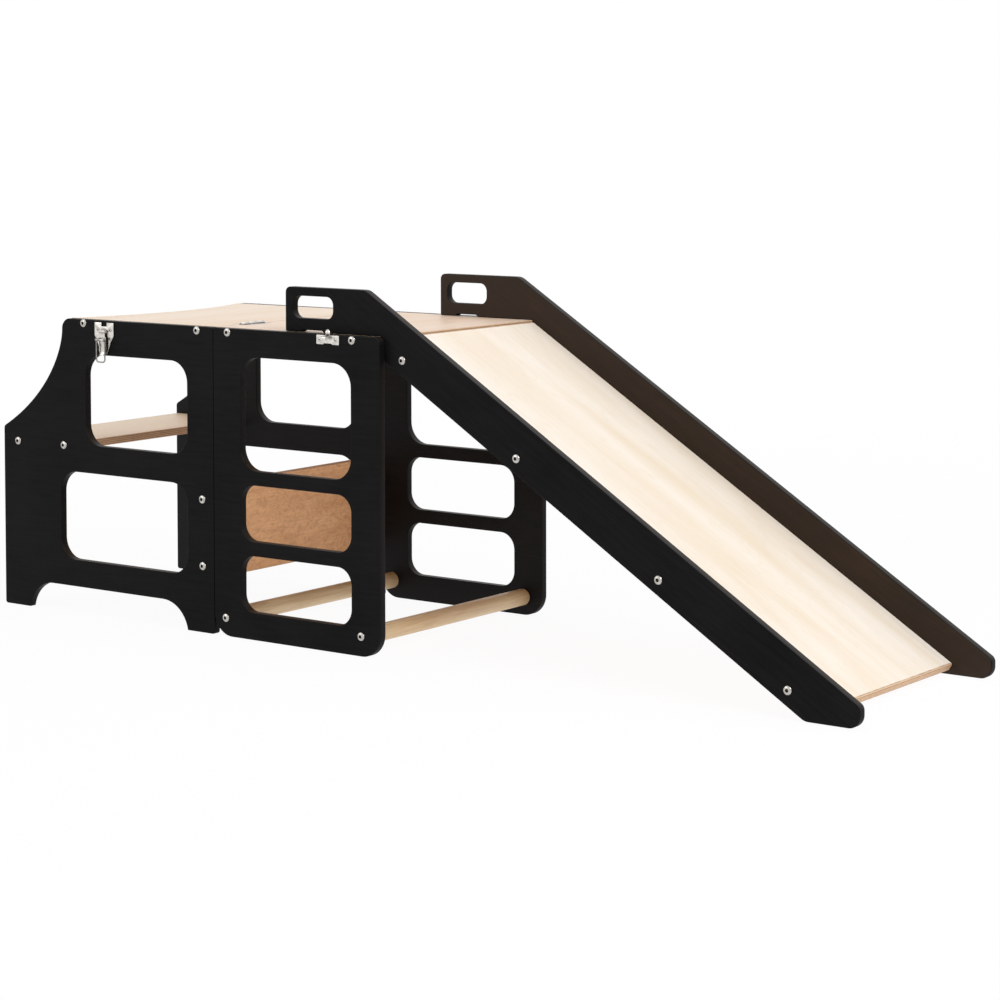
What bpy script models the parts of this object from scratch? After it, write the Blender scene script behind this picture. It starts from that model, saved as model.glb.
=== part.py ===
"""Learning tower with slide, laid out as a low table with its slide hooked on.

Metres, +Z up. The origin is on the floor, below the middle of the whole object.
+X runs along the length, from the step end to the foot of the slide.
The step base and the guard frame are hinged together at the seam, on top.
Outlines are drawn from the seam, so the seam's own X is added once, by location.
"""
import math

import bmesh
import bpy
from mathutils import Matrix, Vector
from mathutils.geometry import interpolate_bezier

# overall sizes
TABLE_HEIGHT = 0.450
WIDTH = 0.401
BASE_LENGTH = 0.4374
FRAME_LENGTH = 0.3104
SLIDE_END = 1.0588                # foot of the slide, measured from the seam
SEAM_X = (BASE_LENGTH - SLIDE_END) / 2
SEAM_GAP = 0.0005                 # from the seam's plane to each half

# sheet and clearances
PLY = 0.012
ARRIS = 0.0008                    # rounded edge of the side panels and rails
BOARD_ARRIS = 0.001
GAP = 0.0003                      # between pieces that touch
PANEL_Y = (WIDTH - PLY) / 2
INNER_Y = WIDTH / 2 - PLY - GAP   # half the length of a board between two side panels

# step base, from the seam towards -X
BACK_X = -0.3093                  # upright edge above the step
BACK_TOP_RADIUS = 0.016
SWEEP_TOP_Z = 0.433               # where the swept edge leaves the upright one
SWEEP_TOP_HANDLE = 0.0249
SWEEP_FOOT_Z = 0.277
SWEEP_FOOT_HANDLE = 0.120
SWEEP_FOOT_SLOPE = math.radians(28.62)
FOOT_LENGTH = 0.0535
ARCH_HEIGHT = 0.041
ARCH_RADIUS = 0.0508
BASE_WINDOW_RADIUS = 0.032
BASE_UPPER_WINDOW = (-0.2600, 0.2590, -0.0520, 0.3972)
BASE_LOWER_WINDOW = (-0.3142, 0.0820, -0.0520, 0.2166)
TOP_BOARD_FRONT_X = -0.300
TOP_BOARD_HOLLOW = 0.040          # depth of the curved front edge
STEP_BOARD_X = (-0.434, -0.2905)
STEP_BOARD_TOP = 0.261
CROSS_BOARD_X = -0.0229
CROSS_BOARD_Z = (0.0775, 0.2176)

# guard frame, from the seam towards +X
FRAME_FOOT_RADIUS = 0.033
FRAME_TOP_RADIUS = 0.009
FRAME_WINDOW_X = (0.0524, 0.2585)
FRAME_WINDOWS = ((0.2454, 0.4100, 0.033), (0.1430, 0.2248, 0.025), (0.0398, 0.1221, 0.025))
TABLE_BOARD_END = 0.3017
DOWEL_RADIUS = 0.0125
DOWEL_Z = 0.0275
DOWEL_X = {"seam": 0.0225, "end": 0.2757}

# slide
SLOPE = math.radians(31.79)
RAIL_DEPTH = 0.0658               # square to the slope
RAIL_SIDE_CLEARANCE = 0.0006      # between a rail and the frame's side panel
RAIL_Y = WIDTH / 2 - PLY - RAIL_SIDE_CLEARANCE - PLY / 2
UNDERSIDE_FOOT_X = 0.9796         # where the sloping underside meets the floor
FLOOR_END_X = 1.0588
NOSE_CORNER_X = 1.0588            # before it is rounded
FLOOR_START_RADIUS = 0.020
FLOOR_END_RADIUS = 0.017
NOSE_RADIUS = 0.010
HANDLE_X = 0.1288
HANDLE_TOP = 0.5140
HANDLE_BACK_RADIUS = 0.008
HANDLE_KNEE_RADIUS = 0.020
HANDLE_PAD_X = 0.157
STEP_PAD_X = 0.200
PAD_RELIEF = 0.003                # the handle part is lifted between its two pads
PAD_RAMP = 0.004
HANDLE_SLOT = (0.1424, 0.4699, 0.2165, 0.5016)
HANDLE_SLOT_RADIUS = 0.012
SLIDE_BOARD_DROP = 0.0417         # rail top to sliding surface, square to the slope
SLIDE_BOARD_FOOT_X = 1.0013

# butt hinges, let into both boards at the seam
HINGE_Z = TABLE_HEIGHT + 0.0002
HINGE_Y = 0.114
HINGE_LENGTH = 0.050
HINGE_LEAF = 0.016
LEAF_THICKNESS = 0.0015
LEAF_SINK = 0.0002                # leaf's face below the board's face
KNUCKLE_RADIUS = 0.0032
KNUCKLE_SPAN = 0.018              # length of the middle knuckle
HINGE_PIN_RADIUS = 0.0015
HINGE_BORE_RADIUS = 0.0016

# toggle latches on the base, keepers on the guard frame; OUT is measured from the panel's face
LATCH_X = -0.2185
SHEET = 0.0012
SHIELD_HALF = 0.0195
SHIELD_TOP = 0.4470
SHIELD_SHOULDER = 0.4275
SHIELD_WAIST = (0.0145, 0.4195)
SHIELD_TIP = 0.3995
NOTCH_HALF = 0.0056
NOTCH_BOTTOM = 0.4412
LEVER_PIN_OUT = 0.005
LEVER_PIN_Z = 0.434
SMALL_PIN_RADIUS = 0.0010
SMALL_BORE_RADIUS = 0.00108
EYE_RADIUS = 0.0022
EAR_X = (0.0052, 0.0064)
LEVER_PIN_HALF = 0.0070
LEVER_NECK_HALF = 0.0049
LEVER_HALF = 0.0068
LEVER_SHOULDER_Z = 0.4265
LEVER_TIP_Z = 0.3980
BAIL_PIN_OUT = 0.009
BAIL_PIN_Z = 0.4215
BAIL_PIN_HALF = 0.0099
BAIL_HALF = 0.00865
BAIL_WIRE = 0.0011
BAIL_LENGTH = 0.0335
BAIL_CORNER = 0.0045
KEEPER_HALF = 0.0205
KEEPER_Z = (0.4360, 0.4490)
HOOK_HALF = 0.0045
TONGUE_RADIUS = 0.0045
TONGUE_Z = 0.4530
TONGUE_OUT = 0.0040

PIN_SIDES = 16

PANEL_BLACK = ((0.020, 0.018, 0.018), 0.45, 0.0)
BIRCH_PLY = ((0.82, 0.66, 0.47), 0.40, 0.0)
DOWEL_WOOD = ((0.78, 0.62, 0.40), 0.50, 0.0)
NICKEL = ((0.72, 0.70, 0.67), 0.25, 1.0)


def clear_scene():
    for item in list(bpy.data.objects):
        bpy.data.objects.remove(item, do_unlink=True)
    for group in list(bpy.data.collections):
        bpy.data.collections.remove(group)


def new_collection(name):
    group = bpy.data.collections.new(name)
    bpy.context.scene.collection.children.link(group)
    return group


def finish_material(name, finish):
    colour, roughness, metallic = finish
    material = bpy.data.materials.new(name)
    material.use_nodes = True
    shader = material.node_tree.nodes["Principled BSDF"]
    shader.inputs["Base Color"].default_value = (*colour, 1.0)
    shader.inputs["Roughness"].default_value = roughness
    shader.inputs["Metallic"].default_value = metallic
    return material


def arc(centre, radius, start, end, steps):
    """Points of an arc, both ends included; angles in radians."""
    points = []
    for i in range(steps + 1):
        angle = start + (end - start) * i / steps
        points.append((centre[0] + radius * math.cos(angle), centre[1] + radius * math.sin(angle)))
    return points


def rounded(corners):
    """Closed outline through (u, v, radius) corners, each turned by an arc of its radius."""
    points = []
    count = len(corners)
    for i, (u, v, radius) in enumerate(corners):
        if radius <= 0:
            points.append((u, v))
            continue
        here = Vector((u, v))
        before = (Vector(corners[i - 1][:2]) - here).normalized()
        after = (Vector(corners[(i + 1) % count][:2]) - here).normalized()
        half = before.angle(after) / 2
        reach = radius / math.tan(half)
        centre = here + (before + after).normalized() * (radius / math.sin(half))
        first = here + before * reach - centre
        sweep = math.pi - 2 * half
        if first.x * (here + after * reach - centre).y < first.y * (here + after * reach - centre).x:
            sweep = -sweep
        start = math.atan2(first.y, first.x)
        steps = max(2, round(abs(sweep) / math.radians(18 if radius > 0.010 else 30)))
        points += arc(centre, radius, start, start + sweep, steps)
    return points


def window(low_u, low_v, high_u, high_v, radius):
    return rounded([(low_u, low_v, radius), (high_u, low_v, radius),
                    (high_u, high_v, radius), (low_u, high_v, radius)])


def outline_mesh(name, loops, thickness, arris):
    """A flat outline, with its holes, as a closed mesh that is rounded along its edges."""
    curve = bpy.data.curves.new(name, "CURVE")
    curve.dimensions = "2D"
    curve.fill_mode = "BOTH"
    curve.extrude = thickness / 2 - arris
    if arris > 0:
        curve.bevel_depth = arris
        curve.bevel_resolution = 1
        curve.offset = -arris
    for loop in loops:
        spline = curve.splines.new("POLY")
        spline.points.add(len(loop) - 1)
        for point, (u, v) in zip(spline.points, loop):
            point.co = (u, v, 0.0, 1.0)
        spline.use_cyclic_u = True
    return curve_to_mesh(name, curve)


def curve_to_mesh(name, curve):
    """The evaluated curve as a mesh with its caps welded on; the curve is removed."""
    item = bpy.data.objects.new(name + "_curve", curve)
    bpy.context.scene.collection.objects.link(item)
    bpy.context.view_layer.update()
    graph = bpy.context.evaluated_depsgraph_get()
    mesh = bpy.data.meshes.new_from_object(item.evaluated_get(graph))
    bpy.data.objects.remove(item)
    bpy.data.curves.remove(curve)
    mesh.name = name
    work = bmesh.new()
    work.from_mesh(mesh)
    bmesh.ops.remove_doubles(work, verts=work.verts, dist=0.00001)
    bmesh.ops.dissolve_degenerate(work, edges=work.edges, dist=0.000001)
    bmesh.ops.recalc_face_normals(work, faces=work.faces)
    work.to_mesh(mesh)
    work.free()
    mesh.materials.clear()
    return mesh


def face_out(mesh):
    work = bmesh.new()
    work.from_mesh(mesh)
    bmesh.ops.recalc_face_normals(work, faces=work.faces)
    work.to_mesh(mesh)
    work.free()


def add_object(name, mesh, group, location=(0.0, 0.0, 0.0), rotation=(0.0, 0.0, 0.0), finish=None):
    item = bpy.data.objects.new(name, mesh)
    item.location = location
    item.rotation_euler = rotation
    group.objects.link(item)
    if finish is not None:
        mesh.materials.append(finish_material(name, finish))
    return item


def standing(name, loops, thickness, arris, group, y, finish):
    """An outline in the X-Z plane, centred on y and drawn from the seam."""
    mesh = outline_mesh(name, loops, thickness, arris)
    return add_object(name, mesh, group, (SEAM_X, y, 0.0), (math.pi / 2, 0.0, 0.0), finish)


def lying(name, loops, top, thickness, arris, group, finish):
    """An outline in the X-Y plane, drawn from the seam, with its upper face at top."""
    mesh = outline_mesh(name, loops, thickness, arris)
    return add_object(name, mesh, group, (SEAM_X, 0.0, top - thickness / 2), finish=finish)


def box_mesh(name, low, high):
    mesh = bpy.data.meshes.new(name)
    work = bmesh.new()
    bmesh.ops.create_cube(work, size=1.0)
    size = Vector(high) - Vector(low)
    middle = (Vector(high) + Vector(low)) / 2
    bmesh.ops.transform(work, matrix=Matrix.Translation(middle) @ Matrix.Diagonal((*size, 1.0)), verts=work.verts)
    work.to_mesh(mesh)
    work.free()
    return mesh


def rod_mesh(name, radius, length, axis, sides, chamfer=0.0):
    """A round bar, centred, along X or Y."""
    mesh = bpy.data.meshes.new(name)
    work = bmesh.new()
    bmesh.ops.create_cone(work, cap_ends=True, segments=sides, radius1=radius, radius2=radius, depth=length)
    if chamfer > 0:
        rims = [edge for edge in work.edges if abs(edge.verts[0].co.z - edge.verts[1].co.z) < 1e-6]
        bmesh.ops.bevel(work, geom=rims, offset=chamfer, segments=2, profile=0.5, affect="EDGES")
    turn = Matrix.Rotation(math.pi / 2, 4, "Y" if axis == "X" else "X")
    bmesh.ops.transform(work, matrix=turn, verts=work.verts)
    work.to_mesh(mesh)
    work.free()
    mesh.shade_smooth()
    mesh.set_sharp_from_angle(angle=math.radians(40))
    return mesh


def add_cutter(name, mesh, group, location=(0.0, 0.0, 0.0), rotation=(0.0, 0.0, 0.0)):
    cutter = add_object(name, mesh, group, location, rotation)
    cutter.hide_render = True
    cutter.display_type = "WIRE"
    return cutter


def combine(item, other, operation):
    step = item.modifiers.new(other.name, "BOOLEAN")
    step.operation = operation
    step.object = other
    step.solver = "EXACT"


def parent_keep(child, parent):
    bpy.context.view_layer.update()
    world = child.matrix_world.copy()
    child.parent = parent
    child.matrix_parent_inverse = parent.matrix_world.inverted()
    child.matrix_world = world


def add_pivot(name, location, group):
    pivot = bpy.data.objects.new(name, None)
    pivot.location = location
    pivot.empty_display_size = 0.03
    group.objects.link(pivot)
    return pivot


def base_side_outline():
    sweep = interpolate_bezier(
        Vector((BACK_X, SWEEP_TOP_Z)),
        Vector((BACK_X, SWEEP_TOP_Z - SWEEP_TOP_HANDLE)),
        Vector((-BASE_LENGTH + SWEEP_FOOT_HANDLE * math.cos(SWEEP_FOOT_SLOPE),
                SWEEP_FOOT_Z + SWEEP_FOOT_HANDLE * math.sin(SWEEP_FOOT_SLOPE))),
        Vector((-BASE_LENGTH, SWEEP_FOOT_Z)), 13)
    corners = [(-SEAM_GAP, TABLE_HEIGHT, 0.003), (BACK_X, TABLE_HEIGHT, BACK_TOP_RADIUS)]
    corners += [(point[0], point[1], 0.0) for point in sweep[:-1]]
    corners += [(-BASE_LENGTH, SWEEP_FOOT_Z, 0.006), (-BASE_LENGTH, 0.0, 0.004)]
    rise = math.asin((ARCH_RADIUS - ARCH_HEIGHT) / ARCH_RADIUS)
    reach = ARCH_RADIUS * math.cos(rise)
    left = (-BASE_LENGTH + FOOT_LENGTH + reach, ARCH_HEIGHT - ARCH_RADIUS)
    right = (-FOOT_LENGTH - reach, ARCH_HEIGHT - ARCH_RADIUS)
    corners += [(u, v, 0.0) for u, v in arc(left, ARCH_RADIUS, math.pi - rise, math.pi / 2, 6)]
    corners += [(u, v, 0.0) for u, v in arc(right, ARCH_RADIUS, math.pi / 2, rise, 6)]
    corners += [(-SEAM_GAP, 0.0, 0.004)]
    return rounded(corners)


def top_board_outline():
    """Rectangle whose front edge is hollowed by a wide arc between the side panels."""
    radius = (INNER_Y ** 2 + TOP_BOARD_HOLLOW ** 2) / (2 * TOP_BOARD_HOLLOW)
    centre = (TOP_BOARD_FRONT_X + TOP_BOARD_HOLLOW - radius, 0.0)
    half = math.asin(INNER_Y / radius)
    return [(-SEAM_GAP - GAP, -INNER_Y), (-SEAM_GAP - GAP, INNER_Y)] + arc(centre, radius, half, -half, 16)


def rail_outline():
    slope = math.tan(SLOPE)
    rise = RAIL_DEPTH / math.cos(SLOPE)
    knee_x = UNDERSIDE_FOOT_X - (HANDLE_TOP - rise) / slope
    step_x = TABLE_BOARD_END + GAP
    tip_z = (UNDERSIDE_FOOT_X - NOSE_CORNER_X) * slope + rise
    pad_z = TABLE_HEIGHT + GAP
    return rounded([
        (HANDLE_X, pad_z, 0.002),
        (HANDLE_PAD_X, pad_z, 0.0),
        (HANDLE_PAD_X + PAD_RAMP, pad_z + PAD_RELIEF, 0.0),
        (STEP_PAD_X - PAD_RAMP, pad_z + PAD_RELIEF, 0.0),
        (STEP_PAD_X, pad_z, 0.0),
        (step_x, pad_z, 0.0),
        (step_x, (UNDERSIDE_FOOT_X - step_x) * slope, 0.003),
        (UNDERSIDE_FOOT_X, 0.0, FLOOR_START_RADIUS),
        (FLOOR_END_X, 0.0, FLOOR_END_RADIUS),
        (NOSE_CORNER_X, tip_z, NOSE_RADIUS),
        (knee_x, HANDLE_TOP, HANDLE_KNEE_RADIUS),
        (HANDLE_X, HANDLE_TOP, HANDLE_BACK_RADIUS),
    ])


def slide_board_outline():
    """Side view: plumb upper end against the table board, lower end square to the slope."""
    slope = math.tan(SLOPE)
    surface = (RAIL_DEPTH - SLIDE_BOARD_DROP) / math.cos(SLOPE)
    under = surface - PLY / math.cos(SLOPE)
    start_x = TABLE_BOARD_END + GAP

    def height(x, offset):
        return (UNDERSIDE_FOOT_X - x) * slope + offset

    low_x = SLIDE_BOARD_FOOT_X - PLY * math.sin(SLOPE)
    return rounded([
        (start_x, height(start_x, under), 0.0),
        (low_x, height(low_x, under), 0.0015),
        (SLIDE_BOARD_FOOT_X, height(SLIDE_BOARD_FOOT_X, surface), 0.0025),
        (start_x, height(start_x, surface), 0.0015),
    ])


def make_base(parts):
    for side, sign in (("right", -1), ("left", 1)):
        loops = [base_side_outline(), window(*BASE_UPPER_WINDOW, BASE_WINDOW_RADIUS),
                 window(*BASE_LOWER_WINDOW, BASE_WINDOW_RADIUS)]
        standing("base_side_" + side, loops, PLY, ARRIS, parts, sign * PANEL_Y, PANEL_BLACK)
    top = lying("base_top_board", [top_board_outline()], TABLE_HEIGHT, PLY, BOARD_ARRIS, parts, BIRCH_PLY)
    low, high = STEP_BOARD_X
    step = [(low, -INNER_Y), (high, -INNER_Y), (high, INNER_Y), (low, INNER_Y)]
    lying("base_step_board", [step], STEP_BOARD_TOP, PLY, BOARD_ARRIS, parts, BIRCH_PLY)
    low_z, high_z = CROSS_BOARD_Z
    cross = [(low_z, -INNER_Y), (high_z, -INNER_Y), (high_z, INNER_Y), (low_z, INNER_Y)]
    mesh = outline_mesh("base_cross_board", [cross], PLY, BOARD_ARRIS)
    add_object("base_cross_board", mesh, parts, (SEAM_X + CROSS_BOARD_X, 0.0, 0.0),
               (0.0, -math.pi / 2, 0.0), BIRCH_PLY)
    return top


def make_frame(parts, pivot):
    corners = [(SEAM_GAP, 0.0, FRAME_FOOT_RADIUS), (FRAME_LENGTH, 0.0, FRAME_FOOT_RADIUS),
               (FRAME_LENGTH, TABLE_HEIGHT, FRAME_TOP_RADIUS), (SEAM_GAP, TABLE_HEIGHT, 0.003)]
    low_x, high_x = FRAME_WINDOW_X
    pieces = []
    for side, sign in (("right", -1), ("left", 1)):
        loops = [rounded(corners)]
        loops += [window(low_x, low_z, high_x, high_z, radius) for low_z, high_z, radius in FRAME_WINDOWS]
        pieces.append(standing("frame_side_" + side, loops, PLY, ARRIS, parts, sign * PANEL_Y, PANEL_BLACK))
    start = SEAM_GAP + GAP
    board = [(start, -INNER_Y), (TABLE_BOARD_END, -INNER_Y), (TABLE_BOARD_END, INNER_Y), (start, INNER_Y)]
    table = lying("frame_table_board", [board], TABLE_HEIGHT, PLY, BOARD_ARRIS, parts, BIRCH_PLY)
    pieces.append(table)
    for place, x in DOWEL_X.items():
        mesh = rod_mesh("frame_dowel_" + place, DOWEL_RADIUS, 2 * INNER_Y, "Y", 32, 0.0005)
        pieces.append(add_object("frame_dowel_" + place, mesh, parts, (SEAM_X + x, 0.0, DOWEL_Z), finish=DOWEL_WOOD))
    for piece in pieces:
        parent_keep(piece, pivot)
    return table


def make_slide(parts, pivot):
    pieces = []
    for side, sign in (("right", -1), ("left", 1)):
        loops = [rail_outline(), window(*HANDLE_SLOT, HANDLE_SLOT_RADIUS)]
        pieces.append(standing("slide_rail_" + side, loops, PLY, ARRIS, parts, sign * RAIL_Y, PANEL_BLACK))
    width = 2 * (RAIL_Y - PLY / 2 - GAP)
    pieces.append(standing("slide_board", [slide_board_outline()], width, 0.0, parts, 0.0, BIRCH_PLY))
    for piece in pieces:
        parent_keep(piece, pivot)


def leaf_outline():
    """Section of a hinge leaf that lies towards -X, with its knuckle bored for the pin."""
    top = TABLE_HEIGHT - LEAF_SINK - HINGE_Z
    under = top - LEAF_THICKNESS
    start = math.pi - math.asin(top / KNUCKLE_RADIUS)
    end = -math.pi - math.asin(under / KNUCKLE_RADIUS)
    knuckle = arc((0.0, 0.0), KNUCKLE_RADIUS, start, end, 18)
    outer = [(-HINGE_LEAF, under), (-HINGE_LEAF, top)] + knuckle
    bore = arc((0.0, 0.0), HINGE_BORE_RADIUS, 0.0, 2 * math.pi, PIN_SIDES)[:-1]
    return [outer, bore]


def make_hinge(side, sign, parts, cutters, base_board, table_board, pivot):
    centre = (SEAM_X, sign * HINGE_Y, HINGE_Z)
    half = HINGE_LENGTH / 2
    middle = KNUCKLE_SPAN / 2
    reach = KNUCKLE_RADIUS + GAP
    for owner, turn in (("base", 0.0), ("frame", math.pi)):
        name = "hinge_leaf_" + owner + "_" + side
        mesh = outline_mesh(name, leaf_outline(), HINGE_LENGTH, 0.0)
        spin = Matrix.Rotation(math.pi / 2, 4, "X")
        if owner == "frame":
            spin = Matrix.Diagonal((-1.0, 1.0, 1.0, 1.0)) @ spin
        mesh.transform(spin)
        face_out(mesh)
        leaf = add_object(name, mesh, parts, centre, finish=NICKEL)
        if owner == "base":
            spans = [(-middle - GAP, middle + GAP)]
        else:
            spans = [(-half - GAP, -middle), (middle, half + GAP)]
        for i, (low, high) in enumerate(spans):
            edge = reach * (-1 if owner == "base" else 1)
            cut = box_mesh(name + "_cut", (min(edge, -edge), low, -reach), (max(edge, -edge), high, reach))
            combine(leaf, add_cutter(name + "_cut_" + str(i), cut, cutters, centre), "DIFFERENCE")
        if owner == "frame":
            parent_keep(leaf, pivot)
    pin = rod_mesh("hinge_pin_" + side, HINGE_PIN_RADIUS, HINGE_LENGTH, "Y", PIN_SIDES)
    add_object("hinge_pin_" + side, pin, parts, centre, finish=NICKEL)
    floor_z = TABLE_HEIGHT - LEAF_SINK - LEAF_THICKNESS - GAP
    for board, toward in ((base_board, -1), (table_board, 1)):
        ends = sorted((0.0, toward * (HINGE_LEAF + GAP)))
        seat = box_mesh("seat", (ends[0], -half - GAP, floor_z - HINGE_Z), (ends[1], half + GAP, 0.002))
        combine(board, add_cutter(board.name + "_seat_" + side, seat, cutters, centre), "DIFFERENCE")
        ends = sorted((0.0, toward * (reach + GAP)))
        room = box_mesh("room", (ends[0], -half - GAP, -reach - GAP), (ends[1], half + GAP, 0.002))
        combine(board, add_cutter(board.name + "_room_" + side, room, cutters, centre), "DIFFERENCE")


def fitting(name, loops, low, high, group, place, finish=None):
    """An outline of (out, z) points drawn in a fitting's side view, spanning low to high across it."""
    mesh = outline_mesh(name, loops, high - low, 0.0)
    turn = Matrix(((0, 0, 1, (low + high) / 2), (-1, 0, 0, 0), (0, 1, 0, 0), (0, 0, 0, 1)))
    mesh.transform(turn)
    return place(name, mesh, group, finish)


def front(name, loops, out_low, out_high, group, place, finish=None):
    """An outline of (x, z) points drawn in a fitting's front view, from out_low to out_high."""
    mesh = outline_mesh(name, loops, out_high - out_low, 0.0)
    turn = Matrix(((1, 0, 0, 0), (0, 0, 1, -(out_low + out_high) / 2), (0, 1, 0, 0), (0, 0, 0, 1)))
    mesh.transform(turn)
    return place(name, mesh, group, finish)


def placer(x, sign):
    """Puts a fitting modelled on the right-hand panel, face at y = 0 and out along -Y, on either panel."""
    def place(name, mesh, group, finish):
        if sign > 0:
            mesh.transform(Matrix.Diagonal((1.0, -1.0, 1.0, 1.0)))
        face_out(mesh)
        location = (SEAM_X + x, sign * WIDTH / 2, 0.0)
        if finish is None:
            return add_cutter(name, mesh, group, location)
        return add_object(name, mesh, group, location, finish=finish)
    return place


def eye_loops(out, z, bore):
    return [arc((out, z), EYE_RADIUS, 0.0, 2 * math.pi, PIN_SIDES)[:-1],
            arc((out, z), bore, 0.0, 2 * math.pi, PIN_SIDES)[:-1]]


def tab_loops(out, z, root):
    """A tab with a round head bored for a pin, standing on a sheet whose face is at root."""
    outer = [(root, z - EYE_RADIUS), *arc((out, z), EYE_RADIUS, -math.pi / 2, math.pi / 2, 8), (root, z + EYE_RADIUS)]
    return [outer, arc((out, z), SMALL_BORE_RADIUS, 0.0, 2 * math.pi, PIN_SIDES)[:-1]]


def small_pin(name, half, out, z, group, place):
    mesh = rod_mesh(name, SMALL_PIN_RADIUS, 2 * half, "X", PIN_SIDES)
    mesh.transform(Matrix.Translation((0.0, -out, z)))
    return place(name, mesh, group, NICKEL)


def make_latch(side, sign, parts, cutters):
    place = placer(LATCH_X, sign)
    waist_x, waist_z = SHIELD_WAIST
    right_half = [(NOTCH_HALF, NOTCH_BOTTOM, 0.001), (NOTCH_HALF, SHIELD_TOP, 0.0), (SHIELD_HALF, SHIELD_TOP, 0.001),
                  (SHIELD_HALF, SHIELD_SHOULDER, 0.004), (waist_x, waist_z, 0.006), (0.0058, SHIELD_TIP, 0.003)]
    shield = rounded(right_half + [(-x, z, radius) for x, z, radius in reversed(right_half)])
    plate = front("latch_plate_" + side, [shield], GAP, GAP + SHEET, parts, place, NICKEL)
    for i, (low, high) in enumerate((EAR_X, (-EAR_X[1], -EAR_X[0]))):
        ear = fitting("latch_ear_" + side + str(i), tab_loops(LEVER_PIN_OUT, LEVER_PIN_Z, GAP + SHEET / 2),
                      low, high, cutters, place)
        combine(plate, ear, "UNION")
    small_pin("latch_lever_pin_" + side, LEVER_PIN_HALF, LEVER_PIN_OUT, LEVER_PIN_Z, parts, place)
    lever = make_lever(side, parts, cutters, place)
    bail_pin = small_pin("latch_bail_pin_" + side, BAIL_PIN_HALF, BAIL_PIN_OUT, BAIL_PIN_Z, parts, place)
    bail = make_bail(side, parts, cutters, place)
    face_y = sign * WIDTH / 2
    lever_pivot = add_pivot("pivot_lever_" + side, (SEAM_X + LATCH_X, face_y + sign * LEVER_PIN_OUT, LEVER_PIN_Z), parts)
    bail_pivot = add_pivot("pivot_bail_" + side, (SEAM_X + LATCH_X, face_y + sign * BAIL_PIN_OUT, BAIL_PIN_Z), parts)
    parent_keep(bail_pivot, lever_pivot)
    parent_keep(lever, lever_pivot)
    parent_keep(bail_pin, lever_pivot)
    parent_keep(bail, bail_pivot)


def make_lever(side, parts, cutters, place):
    """Side view crossed with front view: a strip with an eye at its pin and a lifted tip."""
    face = LEVER_PIN_OUT + 0.0006
    back = face - SHEET
    strip = [(face, LEVER_PIN_Z), (face, 0.4080), (face + 0.0004, 0.4030), (face + 0.0026, LEVER_TIP_Z),
             (face + 0.0016, LEVER_TIP_Z - 0.0006), (back - 0.0004, 0.4026), (back - 0.0008, 0.4080),
             (back, 0.4120), (back, LEVER_PIN_Z)]
    lever = fitting("latch_lever_" + side, [strip], -LEVER_HALF, LEVER_HALF, parts, place, NICKEL)
    right_half = [(LEVER_NECK_HALF, LEVER_PIN_Z + 0.004, 0.0), (LEVER_NECK_HALF, LEVER_SHOULDER_Z, 0.001),
                  (LEVER_HALF, LEVER_SHOULDER_Z - 0.002, 0.001), (LEVER_HALF, 0.4060, 0.006),
                  (0.0034, LEVER_TIP_Z - 0.0010, 0.003)]
    shape = rounded(right_half + [(-x, z, radius) for x, z, radius in reversed(right_half)])
    combine(lever, front("latch_lever_shape_" + side, [shape], 0.0, 0.014, cutters, place), "INTERSECT")
    neck = LEVER_NECK_HALF
    eye = fitting("latch_lever_eye_" + side, eye_loops(LEVER_PIN_OUT, LEVER_PIN_Z, 0.0009)[:1],
                  -neck, neck, cutters, place)
    combine(lever, eye, "UNION")
    bore = fitting("latch_lever_bore_" + side, eye_loops(LEVER_PIN_OUT, LEVER_PIN_Z, SMALL_BORE_RADIUS)[1:],
                   -neck - 0.001, neck + 0.001, cutters, place)
    combine(lever, bore, "DIFFERENCE")
    for i, (low, high) in enumerate((EAR_X, (-EAR_X[1], -EAR_X[0]))):
        lug = fitting("latch_lug_" + side + str(i), tab_loops(BAIL_PIN_OUT, BAIL_PIN_Z, LEVER_PIN_OUT),
                      low, high, cutters, place)
        combine(lever, lug, "UNION")
    return lever


def make_bail(side, parts, cutters, place):
    """Bent wire loop that hangs from its pin, with a flattened eye at each end."""
    bottom = BAIL_PIN_Z - BAIL_LENGTH
    turn_z = bottom + BAIL_CORNER
    turn_x = BAIL_HALF - BAIL_CORNER
    path = [(-BAIL_HALF, BAIL_PIN_Z - 0.0005)]
    path += arc((-turn_x, turn_z), BAIL_CORNER, math.pi, 1.5 * math.pi, 6)
    path += arc((turn_x, turn_z), BAIL_CORNER, 1.5 * math.pi, 2 * math.pi, 6)
    path += [(BAIL_HALF, BAIL_PIN_Z - 0.0005)]
    curve = bpy.data.curves.new("bail_wire", "CURVE")
    curve.dimensions = "3D"
    curve.bevel_depth = BAIL_WIRE
    curve.bevel_resolution = 2
    curve.use_fill_caps = True
    spline = curve.splines.new("POLY")
    spline.points.add(len(path) - 1)
    for point, (x, z) in zip(spline.points, path):
        point.co = (x, -BAIL_PIN_OUT, z, 1.0)
    name = "latch_bail_" + side
    mesh = curve_to_mesh(name, curve)
    mesh.shade_smooth()
    bail = place(name, mesh, parts, NICKEL)
    for i, end in enumerate((-1, 1)):
        low = end * BAIL_HALF - BAIL_WIRE
        high = end * BAIL_HALF + BAIL_WIRE
        loops = eye_loops(BAIL_PIN_OUT, BAIL_PIN_Z, SMALL_BORE_RADIUS)
        combine(bail, fitting(name + "_eye" + str(i), loops[:1], low, high, cutters, place), "UNION")
        bore = fitting(name + "_bore" + str(i), loops[1:], low - 0.001, high + 0.001, cutters, place)
        combine(bail, bore, "DIFFERENCE")
    return bail


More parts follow.
